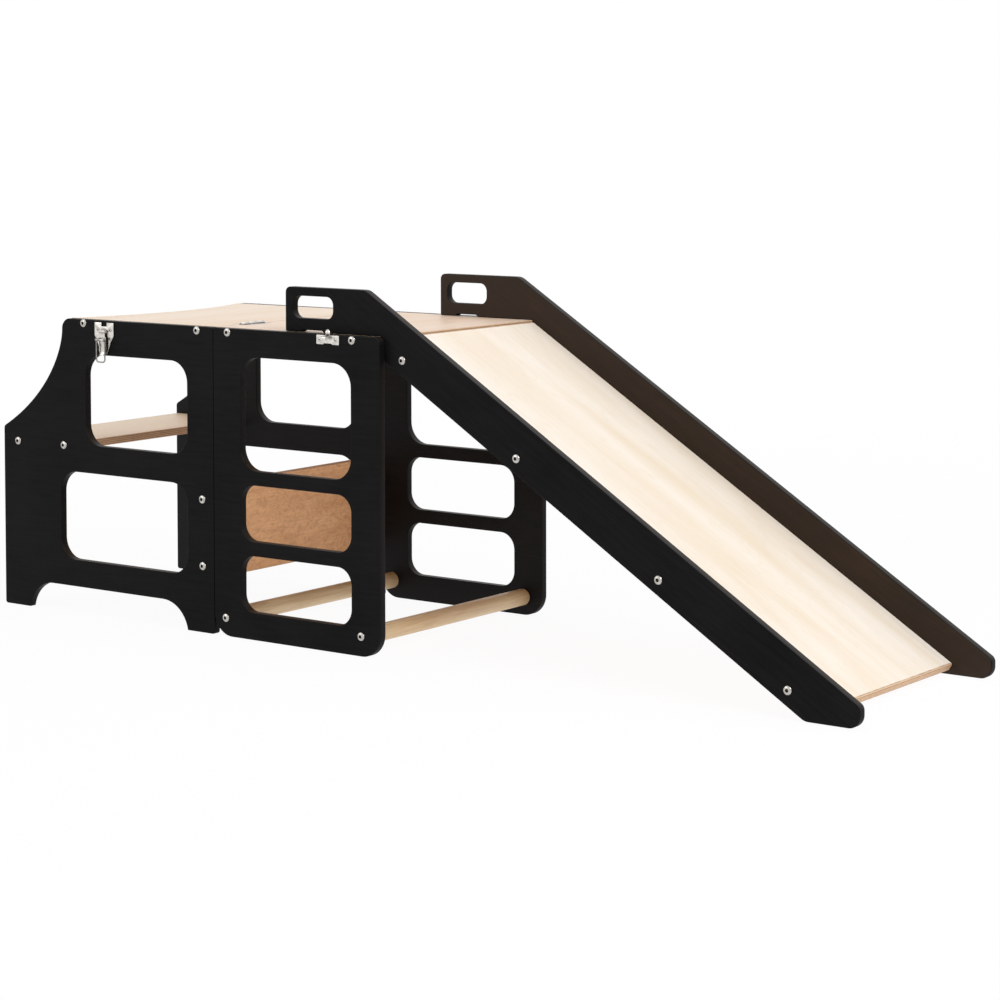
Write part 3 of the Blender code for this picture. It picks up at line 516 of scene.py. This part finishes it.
def cutSeats(piece, toward):
    # a mortise for each leaf and a groove for its knuckle, cut into the board's seam end
    s = hingeSeat
    gap = overall["gap"]
    top = overall["tableHeight"]
    axisZ = top + s["rise"]
    for sign in (-1, 1):
        for reach, floor in ((s["leaf"] + gap, top - s["sink"] - s["thickness"] - gap),
                             (s["knuckle"] + 2 * gap, axisZ - s["knuckle"] - 2 * gap)):
            low = (min(0, toward * reach), sign * s["y"] - s["length"] / 2 - gap, floor)
            high = (max(0, toward * reach), sign * s["y"] + s["length"] / 2 + gap, top + s["overcut"])
            cutter = bpy.data.objects.new("seatCutter", boxMesh("seatCutter", low, high))
            cutter.location = (seamX, 0, 0)
            bpy.context.scene.collection.objects.link(cutter)
            cut = piece.modifiers.new("seat", "BOOLEAN")
            cut.object = cutter
            cut.solver = "EXACT"
            bpy.context.view_layer.update()
            mesh = bpy.data.meshes.new_from_object(piece.evaluated_get(bpy.context.evaluated_depsgraph_get()))
            piece.modifiers.clear()
            piece.data = mesh
            bpy.data.objects.remove(cutter)
    return piece


def boxMesh(name, low, high):
    mesh = bpy.data.meshes.new(name)
    work = bmesh.new()
    bmesh.ops.create_cube(work, size=1)
    size = Vector(high) - Vector(low)
    middle = (Vector(high) + Vector(low)) / 2
    place = Matrix.Translation(middle) @ Matrix.Diagonal((*size, 1))
    bmesh.ops.transform(work, matrix=place, verts=work.verts)
    work.to_mesh(mesh)
    work.free()
    return mesh


def boardWithSeats(name, loop, toward, face, edge, body, node):
    place = level(overall["tableHeight"] - overall["ply"] / 2)
    mesh = flatMesh(name, [loop], overall["ply"], overall["boardArris"], place)
    draft = bpy.data.objects.new(name + "Draft", mesh)
    bpy.context.scene.collection.objects.link(draft)
    cutSeats(draft, toward)
    mesh = draft.data
    bpy.data.objects.remove(draft)
    mesh.name = name
    mesh.materials.clear()
    splitFaces(mesh, (0, 0, 1), face, edge, underFace)
    return addPiece(name, mesh, body, "birch_ply", node)


topBoard = {"frontX": -0.300, "hollow": 0.040}
radius = (innerY ** 2 + topBoard["hollow"] ** 2) / (2 * topBoard["hollow"])
centre = (topBoard["frontX"] + topBoard["hollow"] - radius, 0)
half = math.asin(innerY / radius)
start = -overall["seamGap"] - overall["gap"]
loop = [(start, -innerY), (start, innerY)] + arcPoints(centre, radius, half, -half, 2)
boardWithSeats("topBoard", loop, -1, topFace, levelEdge, "base", "base_top_board")

low, high = stepBoard["x"]
loop = [(low, -innerY), (high, -innerY), (high, innerY), (low, innerY)]
place = level(stepBoard["top"] - overall["ply"] / 2)
mesh = flatMesh("stepBoard", [loop], overall["ply"], overall["boardArris"], place)
splitFaces(mesh, (0, 0, 1), stepFace, stepEdge, underFace)
addPiece("stepBoard", mesh, "base", "birch_ply", "base_step_board")

low, high = crossBoard["z"]
loop = [(low, -innerY), (high, -innerY), (high, innerY), (low, innerY)]
place = Matrix.Translation((seamX + crossBoard["x"], 0, 0)) @ Matrix.Rotation(-math.pi / 2, 4, "Y")
mesh = flatMesh("crossBoard", [loop], overall["ply"], overall["boardArris"], place)
splitFaces(mesh, (1, 0, 0), crossFace, crossEdge)
addPiece("crossBoard", mesh, "base", "birch_ply", "base_cross_board")
print("step base dressed")


# guard frame

guardShape = {"footRadius": 0.033, "topRadius": 0.009, "windowX": (0.0524, 0.2585),
              "windows": ((0.2454, 0.4100, 0.033), (0.1430, 0.2248, 0.025), (0.0398, 0.1221, 0.025)),
              "boardEnd": 0.3017}

guardLoop = roundedLoop([(overall["seamGap"], 0, guardShape["footRadius"]),
                         (overall["frameLength"], 0, guardShape["footRadius"]),
                         (overall["frameLength"], overall["tableHeight"], guardShape["topRadius"]),
                         (overall["seamGap"], overall["tableHeight"], baseShape["seamRadius"])])
for side, sign in (("right", -1), ("left", 1)):
    low, high = guardShape["windowX"]
    loops = [guardLoop]
    loops += [windowLoop(low, bottom, high, top, radius) for bottom, top, radius in guardShape["windows"]]
    mesh = flatMesh("guardPanel_" + side, loops, overall["ply"], overall["arris"], upright(sign * panelY))
    splitFaces(mesh, (0, sign, 0), blackFlat, blackFlatEdge, blackFlatInner)
    addPiece("guardPanel_" + side, mesh, "guard_frame", "black_panel", "frame_side_" + side)

start = overall["seamGap"] + overall["gap"]
end = guardShape["boardEnd"]
loop = [(start, -innerY), (end, -innerY), (end, innerY), (start, innerY)]
boardWithSeats("tableBoard", loop, 1, tableFace, levelEdge, "guard_frame", "frame_table_board")

dowels = {"radius": 0.0125, "x": (0.0225, 0.2757), "z": 0.0275, "chamfer": 0.0008}
for name, x in zip(("seam", "end"), dowels["x"]):
    work = bmesh.new()
    bmesh.ops.create_cone(work, cap_ends=True, segments=64, radius1=dowels["radius"],
                          radius2=dowels["radius"], depth=2 * innerY)
    rims = [edge for edge in work.edges if abs(edge.verts[0].co.z - edge.verts[1].co.z) < 1e-6]
    bmesh.ops.bevel(work, geom=rims, offset=dowels["chamfer"], segments=3, profile=0.5, affect="EDGES")
    mesh = bpy.data.meshes.new("dowel_" + name)
    work.to_mesh(mesh)
    work.free()
    mesh.transform(Matrix.Translation((seamX + x, 0, dowels["z"])) @ Matrix.Rotation(math.pi / 2, 4, "X"))
    mesh.materials.append(dowelWood)
    mesh.shade_smooth()
    mesh.set_sharp_from_angle(angle=math.radians(35))
    addPiece("dowel_" + name, mesh, "guard_frame", "dowel_wood", "frame_dowel_" + name)
print("guard frame dressed")


# slide

slideShape = {"railDepth": 0.0658, "railY": overall["width"] / 2 - 0.0186, "undersideFootX": 0.9796,
              "floorStartRadius": 0.020, "floorEndRadius": 0.017,
              "noseRadius": 0.010, "handleX": 0.1288, "handleTop": 0.5140, "handleBackRadius": 0.008,
              "kneeRadius": 0.020, "handlePadX": 0.157, "stepPadX": 0.200, "padRelief": 0.003,
              "padRamp": 0.004, "slot": (0.1424, 0.4699, 0.2165, 0.5016), "slotRadius": 0.012,
              "handleFootRadius": 0.002, "notchRadius": 0.003, "boardDrop": 0.0417, "boardFootX": 1.0013,
              "boardArris": 0.0003, "boardRadii": (0.0008, 0.0020, 0.0030, 0.0020)}


def railLoop():
    s = slideShape
    slope = math.tan(slideSlope)
    rise = s["railDepth"] / math.cos(slideSlope)
    foot, nose = s["undersideFootX"], overall["slideEnd"]
    stepX = guardShape["boardEnd"] + overall["gap"]
    padZ = overall["tableHeight"] + overall["gap"]
    return roundedLoop([
        (s["handleX"], padZ, s["handleFootRadius"]), (s["handlePadX"], padZ, 0),
        (s["handlePadX"] + s["padRamp"], padZ + s["padRelief"], 0),
        (s["stepPadX"] - s["padRamp"], padZ + s["padRelief"], 0), (s["stepPadX"], padZ, 0), (stepX, padZ, 0),
        (stepX, (foot - stepX) * slope, s["notchRadius"]), (foot, 0, s["floorStartRadius"]),
        (nose, 0, s["floorEndRadius"]), (nose, (foot - nose) * slope + rise, s["noseRadius"]),
        (foot - (s["handleTop"] - rise) / slope, s["handleTop"], s["kneeRadius"]),
        (s["handleX"], s["handleTop"], s["handleBackRadius"])])


for side, sign in (("right", -1), ("left", 1)):
    loops = [railLoop(), windowLoop(*slideShape["slot"], slideShape["slotRadius"])]
    place = upright(sign * slideShape["railY"])
    mesh = flatMesh("slideRail_" + side, loops, overall["ply"], overall["arris"], place)
    splitFaces(mesh, (0, sign, 0), blackSlope, blackSlopeEdge, blackSlopeInner)
    addPiece("slideRail_" + side, mesh, "slide", "black_panel", "slide_rail_" + side)


def slideBoardLoop():
    s = slideShape
    slope, lean = math.tan(slideSlope), math.cos(slideSlope)
    surfaceRise = (s["railDepth"] - s["boardDrop"]) / lean
    underRise = surfaceRise - overall["ply"] / lean
    startX = guardShape["boardEnd"] + overall["gap"]
    lowX = s["boardFootX"] - overall["ply"] * math.sin(slideSlope)
    ends = ((startX, underRise), (lowX, underRise), (s["boardFootX"], surfaceRise), (startX, surfaceRise))
    return roundedLoop([(x, (s["undersideFootX"] - x) * slope + rise, radius)
                        for (x, rise), radius in zip(ends, s["boardRadii"])])


slideWidth = 2 * (slideShape["railY"] - overall["ply"] / 2 - overall["gap"])
mesh = flatMesh("slideBoard", [slideBoardLoop()], slideWidth, slideShape["boardArris"], upright(0))
surfaceTop = (slideShape["railDepth"] - slideShape["boardDrop"]) / math.cos(slideSlope)
slideTop = Vector((seamX + slideShape["undersideFootX"], 0, surfaceTop))
slideEdge = makePlyEdge("plyEdgeSlide", slideNormal, slideTop.dot(Vector(slideNormal)))
splitFaces(mesh, slideNormal, slideFace, slideEdge, slideUnder)
addPiece("slideBoard", mesh, "slide", "birch_ply", "slide_board")
print("slide dressed")


# hinges, latches and keepers: the CAD's own metal, merged, eased and polished

def easedCopy(node, name, body, width, segments=2, finish=None):
    mesh = nodes[node].data.copy()
    mesh.name = name
    mesh.materials.clear()
    work = bmesh.new()
    work.from_mesh(mesh)
    bmesh.ops.remove_doubles(work, verts=work.verts, dist=0.000004)
    bmesh.ops.dissolve_limit(work, angle_limit=math.radians(1), verts=work.verts, edges=work.edges)
    bmesh.ops.recalc_face_normals(work, faces=work.faces)
    work.to_mesh(mesh)
    work.free()
    draft = bpy.data.objects.new(name + "Draft", mesh)
    bpy.context.scene.collection.objects.link(draft)
    ease = draft.modifiers.new("ease", "BEVEL")
    ease.width = width
    ease.segments = segments
    ease.limit_method = "ANGLE"
    ease.angle_limit = math.radians(40)
    bpy.context.view_layer.update()
    mesh = bpy.data.meshes.new_from_object(draft.evaluated_get(bpy.context.evaluated_depsgraph_get()))
    bpy.data.objects.remove(draft)
    mesh.name = name
    mesh.materials.append(finish or nickel)
    mesh.shade_smooth()
    mesh.set_sharp_from_angle(angle=math.radians(38))
    return addPiece(name, mesh, body, "nickel_hardware", node)


easing = {"leaf": 0.00022, "pin": 0.0003, "stamping": 0.00025, "wire": 0.0001}
for side in ("right", "left"):
    easedCopy("hinge_leaf_base_" + side, "hingeLeafBase_" + side, "base", easing["leaf"],
              finish=hingeNickel)
    easedCopy("hinge_leaf_frame_" + side, "hingeLeafGuard_" + side, "guard_frame", easing["leaf"],
              finish=hingeNickel)
    easedCopy("hinge_pin_" + side, "hingePin_" + side, "base", easing["pin"], finish=hingeNickel)
    easedCopy("latch_plate_" + side, "latchPlate_" + side, "base", easing["stamping"])
    easedCopy("latch_lever_pin_" + side, "latchLeverPin_" + side, "base", easing["pin"])
    easedCopy("latch_lever_" + side, "latchLever_" + side, "latch_lever_" + side, easing["stamping"])
    easedCopy("latch_bail_pin_" + side, "latchBailPin_" + side, "latch_lever_" + side, easing["pin"])
    easedCopy("latch_bail_" + side, "latchBail_" + side, "latch_bail_" + side, easing["wire"], 1,
              finish=wireNickel)
    easedCopy("keeper_" + side, "keeper_hook_" + side, "guard_frame", easing["stamping"])
print("hardware dressed")


# screws

def turnedHead(name, rings, recess, depth, count=24):
    # a head turned from (radius, height) rings, with a recess whose rim follows recess(angle)
    work = bmesh.new()
    angles = [2 * math.pi * i / count for i in range(count)]
    rows = [[work.verts.new((radius * math.cos(angle), radius * math.sin(angle), height)) for angle in angles]
            for radius, height in rings]
    rimHeight = rings[-1][1]
    for scale, height in ((1.0, rimHeight), (0.96, rimHeight - 0.0002), (0.92, rimHeight - depth)):
        rows.append([work.verts.new((scale * recess(angle) * math.cos(angle),
                                     scale * recess(angle) * math.sin(angle), height)) for angle in angles])
    for lower, upper in zip(rows, rows[1:]):
        for i in range(count):
            work.faces.new((lower[i], lower[(i + 1) % count], upper[(i + 1) % count], upper[i]))
    work.faces.new(rows[-1])
    work.faces.new(list(reversed(rows[0])))
    bmesh.ops.recalc_face_normals(work, faces=work.faces)
    mesh = bpy.data.meshes.new(name)
    work.to_mesh(mesh)
    work.free()
    # marks the socket vertices for the painted shade in the nickel
    sunk = mesh.attributes.new("recess", "FLOAT", "POINT")
    for index, entry in enumerate(sunk.data):
        entry.value = 1.0 if index >= count * (len(rings) + 1) else 0.0
    mesh.shade_smooth()
    mesh.set_sharp_from_angle(angle=math.radians(38))
    head = bpy.data.objects.new(name, mesh)
    bpy.context.scene.collection.objects.link(head)
    return head


def hexRim(flats):
    return lambda angle: flats / 2 / math.cos((angle % (math.pi / 3)) - math.pi / 6)


def crossRim(tip, root):
    return lambda angle: root + (tip - root) * abs(math.cos(2 * angle)) ** 6


# a cross-head profile is (share of the radius, height) from the seat up
buttonScrew = {"radius": 0.0062, "height": 0.0026, "skirt": 0.0005, "crown": 0.985, "arc": (14, 28, 42, 54),
               "socket": 0.0047, "socketDepth": 0.0018, "lip": (1.25, 0.0002), "seat": 0.0001}
smallScrew = {"radius": 0.0030, "recessTip": 0.0017, "recessRoot": 0.0005, "recessDepth": 0.0007,
              "profile": ((1, 0), (1, 0.00015), (0.93, 0.0004), (0.78, 0.0007), (0.62, 0.0009))}
# the hinge leaves meet when folded, so the heads in them stay lower than the gap
leafScrew = {"radius": 0.00225, "recessTip": 0.00128, "recessRoot": 0.0004, "recessDepth": 0.0003,
             "profile": ((1, 0), (1, 0.0001), (0.90, 0.0003), (0.70, 0.0004))}


def makeButtonHead():
    s = buttonScrew
    domed = [(s["radius"], 0), (s["radius"], s["skirt"])]
    domed += [(s["radius"] * math.cos(math.radians(turn)) * s["crown"],
               s["skirt"] + (s["height"] - s["skirt"]) * math.sin(math.radians(turn))) for turn in s["arc"]]
    share, rise = s["lip"]
    domed.append((s["socket"] / 2 * share, domed[-1][1] + rise))
    return turnedHead("buttonHead", domed, hexRim(s["socket"]), s["socketDepth"])


def makeCrossHead(name, s):
    rings = [(s["radius"] * share, height) for share, height in s["profile"]]
    return turnedHead(name, rings, crossRim(s["recessTip"], s["recessRoot"]), s["recessDepth"], 32)


buttonHead = makeButtonHead()
smallHead = makeCrossHead("smallHead", smallScrew)
leafHead = makeCrossHead("leafHead", leafScrew)


def makeScrewTree():
    tree = bpy.data.node_groups.new("screwsOnPoints", "GeometryNodeTree")
    face = tree.interface
    face.new_socket("Points", in_out="INPUT", socket_type="NodeSocketGeometry")
    face.new_socket("Head", in_out="INPUT", socket_type="NodeSocketObject")
    face.new_socket("Finish", in_out="INPUT", socket_type="NodeSocketMaterial")
    face.new_socket("Seed", in_out="INPUT", socket_type="NodeSocketInt").default_value = 1
    face.new_socket("Screws", in_out="OUTPUT", socket_type="NodeSocketGeometry")
    given = tree.nodes.new("NodeGroupInput")
    result = tree.nodes.new("NodeGroupOutput")
    head = addNode(tree, "GeometryNodeObjectInfo", {"Object": given.outputs["Head"]})
    facing = addNode(tree, "GeometryNodeInputNamedAttribute", {"Name": "facing"}, data_type="FLOAT_VECTOR")
    aim = addNode(tree, "FunctionNodeAlignRotationToVector", {"Vector": facing.outputs[0]}, axis="Z")
    roll = addNode(tree, "FunctionNodeRandomValue", {"Seed": given.outputs["Seed"]}, data_type="FLOAT_VECTOR")
    roll.inputs[0].default_value = (0, 0, 0)
    roll.inputs[1].default_value = (0, 0, 2 * math.pi)
    rollTurn = addNode(tree, "FunctionNodeEulerToRotation", {"Euler": roll.outputs[0]})
    turned = addNode(tree, "FunctionNodeRotateRotation",
                     {"Rotation": aim.outputs[0], "Rotate By": rollTurn.outputs[0]}, rotation_space="LOCAL")
    placed = addNode(tree, "GeometryNodeInstanceOnPoints",
                     {"Points": given.outputs["Points"], "Instance": head.outputs["Geometry"],
                      "Rotation": turned.outputs[0]})
    real = addNode(tree, "GeometryNodeRealizeInstances", {"Geometry": placed.outputs[0]})
    finished = addNode(tree, "GeometryNodeSetMaterial",
                       {"Geometry": real.outputs[0], "Material": given.outputs["Finish"]})
    tree.links.new(finished.outputs[0], result.inputs[0])
    return tree


screwTree = makeScrewTree()


def screwsOn(name, body, places, head, seed):
    # places are (position, facing) pairs in the object's frame; one mesh holds all the screws of a call
    points = bpy.data.meshes.new(name + "Points")
    points.from_pydata([position for position, facing in places], [], [])
    facings = points.attributes.new("facing", "FLOAT_VECTOR", "POINT")
    for entry, (position, facing) in zip(facings.data, places):
        entry.vector = facing
    carrier = bpy.data.objects.new(name + "Carrier", points)
    bpy.context.scene.collection.objects.link(carrier)
    tree = carrier.modifiers.new("screws", "NODES")
    tree.node_group = screwTree
    keys = {item.name: item.identifier for item in screwTree.interface.items_tree if item.in_out == "INPUT"}
    tree[keys["Head"]] = head
    tree[keys["Finish"]] = screwNickel
    tree[keys["Seed"]] = seed
    bpy.context.view_layer.update()
    mesh = bpy.data.meshes.new_from_object(carrier.evaluated_get(bpy.context.evaluated_depsgraph_get()))
    carrier.modifiers.clear()
    bpy.data.objects.remove(carrier)
    mesh.name = name
    return addPiece(name, mesh, body, "nickel_hardware")


screwPlaces = {"base": ((-0.4065, 0.2555), (-0.3074, 0.2558), (-0.2632, 0.4441), (-0.0318, 0.444),
                        (-0.0229, 0.1964), (-0.0228, 0.0981)),
               "guard_frame": ((0.028, 0.444), (0.2609, 0.4438), (0.0222, 0.0268), (0.2758, 0.0282)),
               "slide": ((0.3404, 0.4187), (0.5353, 0.2971), (0.7624, 0.1562), (0.9557, 0.0365))}
for number, (body, spots) in enumerate(screwPlaces.items()):
    places = []
    for sign in (-1, 1):
        face = slideShape["railY"] + overall["ply"] / 2 if body == "slide" else overall["width"] / 2
        places += [((seamX + x, sign * (face - buttonScrew["seat"]), z), (0, sign, 0)) for x, z in spots]
    screwsOn("buttonScrews_" + body, body, places, buttonHead, 3 + number)

latchX = 0.2185  # latch and keeper stand this far from the seam, so they meet when folded
plateScrews = {"latch": ((-latchX - 0.0128, 0.4365), (-latchX + 0.0128, 0.4365)), "latchFace": 0.0014,
               "keeper": ((latchX - 0.0145, 0.4425), (latchX + 0.0145, 0.4425)),
               "leafX": 0.0103, "leafY": (-0.017, 0.0, 0.017), "leafTop": 0.44965}
basePlaces, guardPlaces = [], []
for sign in (-1, 1):
    face = sign * (overall["width"] / 2 + plateScrews["latchFace"])
    basePlaces += [((seamX + x, face, z), (0, sign, 0)) for x, z in plateScrews["latch"]]
    guardPlaces += [((seamX + x, face, z), (0, sign, 0)) for x, z in plateScrews["keeper"]]
screwsOn("latchScrews", "base", basePlaces, smallHead, 11)
screwsOn("keeperScrews", "guard_frame", guardPlaces, smallHead, 12)
basePlaces, guardPlaces = [], []
for sign in (-1, 1):
    for along in plateScrews["leafY"]:
        x, y, z = plateScrews["leafX"], sign * hingeSeat["y"] + along, plateScrews["leafTop"]
        basePlaces.append(((seamX - x, y, z), (0, 0, 1)))
        guardPlaces.append(((seamX + x, y, z), (0, 0, 1)))
screwsOn("hingeScrewsBase", "base", basePlaces, leafHead, 13)
screwsOn("hingeScrewsGuard", "guard_frame", guardPlaces, leafHead, 14)
bpy.data.objects.remove(buttonHead)
bpy.data.objects.remove(smallHead)
bpy.data.objects.remove(leafHead)
print("screws placed")


# floor, light and camera

studio = {"floorSize": 60.0, "worldLight": 0.46, "keyPower": 95.0, "fillPower": 20.0, "topPower": 23.0,
          "nearGlow": 0.94, "glowFrom": 0.9, "glowTo": 3.0, "bounce": 0.68,
          "floorDrop": 0.0004, "floorGrey": 0.90, "floorRoughness": 0.9}


def seenRay(tree):  # 1 for what the camera, a reflection or glass sees directly
    path = addNode(tree, "ShaderNodeLightPath")
    seen = calc(tree, "MAXIMUM", path.outputs["Is Camera Ray"], path.outputs["Is Glossy Ray"])
    return calc(tree, "MAXIMUM", seen, path.outputs["Is Transmission Ray"])


floorMesh = bpy.data.meshes.new("studioFloor")
work = bmesh.new()
bmesh.ops.create_grid(work, x_segments=1, y_segments=1, size=studio["floorSize"] / 2)
work.to_mesh(floorMesh)
work.free()
floor = bpy.data.objects.new("studioFloor", floorMesh)
floor.location = (0, 0, -studio["floorDrop"])
bpy.context.scene.collection.objects.link(floor)
floorMaterial, tree, shader = newMaterial("studioFloorWhite")
shader.inputs["Base Color"].default_value = (*grey(studio["floorGrey"]), 1)
shader.inputs["Roughness"].default_value = studio["floorRoughness"]
glow = addNode(tree, "ShaderNodeEmission", {"Color": (1, 1, 1, 1), "Strength": 1.0})
reach = addNode(tree, "ShaderNodeVectorMath", {0: objectSpace(tree)}, operation="LENGTH")
glowShare = remap(tree, reach.outputs["Value"], studio["glowFrom"], studio["glowTo"], studio["nearGlow"], 1.0)
bounce = calc(tree, "MULTIPLY_ADD", seenRay(tree), -studio["bounce"], studio["bounce"])
upward = addNode(tree, "ShaderNodeEmission", {"Color": (1, 1, 1, 1), "Strength": bounce})
lit = addNode(tree, "ShaderNodeAddShader")
tree.links.new(shader.outputs["BSDF"], lit.inputs[0])
tree.links.new(upward.outputs[0], lit.inputs[1])
mixer = addNode(tree, "ShaderNodeMixShader", {0: calc(tree, "MULTIPLY", seenRay(tree), glowShare)})
tree.links.new(lit.outputs[0], mixer.inputs[1])
tree.links.new(glow.outputs[0], mixer.inputs[2])
tree.links.new(mixer.outputs[0], tree.nodes["Material Output"].inputs["Surface"])
floorMesh.materials.append(floorMaterial)

world = bpy.data.worlds.new("studioWorld")
world.use_nodes = True
tree = world.node_tree
back = tree.nodes["Background"]
strength = calc(tree, "MULTIPLY_ADD", seenRay(tree), 1.0 - studio["worldLight"], studio["worldLight"])
tree.links.new(strength, back.inputs["Strength"])
back.inputs["Color"].default_value = (1, 1, 1, 1)
bpy.context.scene.world = world


def addSoftbox(name, place, target, size, power):
    data = bpy.data.lights.new(name, "AREA")
    data.shape = "RECTANGLE"
    data.size, data.size_y = size
    data.energy = power
    lamp = bpy.data.objects.new(name, data)
    lamp.location = place
    lamp.rotation_euler = (Vector(target) - Vector(place)).to_track_quat("-Z", "Y").to_euler()
    bpy.context.scene.collection.objects.link(lamp)


addSoftbox("keySoftbox", (3.2, -1.2, 2.6), (0.1, 0, 0.25), (2.2, 1.6), studio["keyPower"])
addSoftbox("fillSoftbox", (-2.2, -3.0, 1.8), (-0.2, 0, 0.25), (2.0, 1.6), studio["fillPower"])
addSoftbox("topSoftbox", (-0.3, 0.6, 3.2), (0, 0, 0.3), (2.6, 1.8), studio["topPower"])

# the focal length is in pixels of a picture 1000 wide, on the usual 36 mm film
lens = {"yaw": -36.5152, "pitch": -2.7651, "roll": -0.1117, "focal": 2705.37, "pixels": 1000, "film": 36,
        "place": (2.6569 + seamX, -2.9150 - overall["width"] / 2, 0.7663), "shift": (0.01184, -0.26025)}
camera = bpy.data.objects.new("camera", bpy.data.cameras.new("camera"))
camera.data.sensor_width = lens["film"]
camera.data.lens = lens["focal"] * lens["film"] / lens["pixels"]
camera.data.clip_end = 100
camera.data.shift_x, camera.data.shift_y = lens["shift"]
camera.location = lens["place"]
yaw, pitch = math.radians(lens["yaw"]), math.radians(lens["pitch"])
ahead = Vector((math.sin(yaw) * math.cos(pitch), math.cos(yaw) * math.cos(pitch), math.sin(pitch)))
roll = Matrix.Rotation(math.radians(lens["roll"]), 3, "Z")
camera.rotation_euler = (ahead.to_track_quat("-Z", "Y").to_matrix() @ roll).to_euler()
bpy.context.scene.collection.objects.link(camera)
bpy.context.scene.camera = camera
bpy.context.scene.view_settings.view_transform = "Standard"
print("studio set")
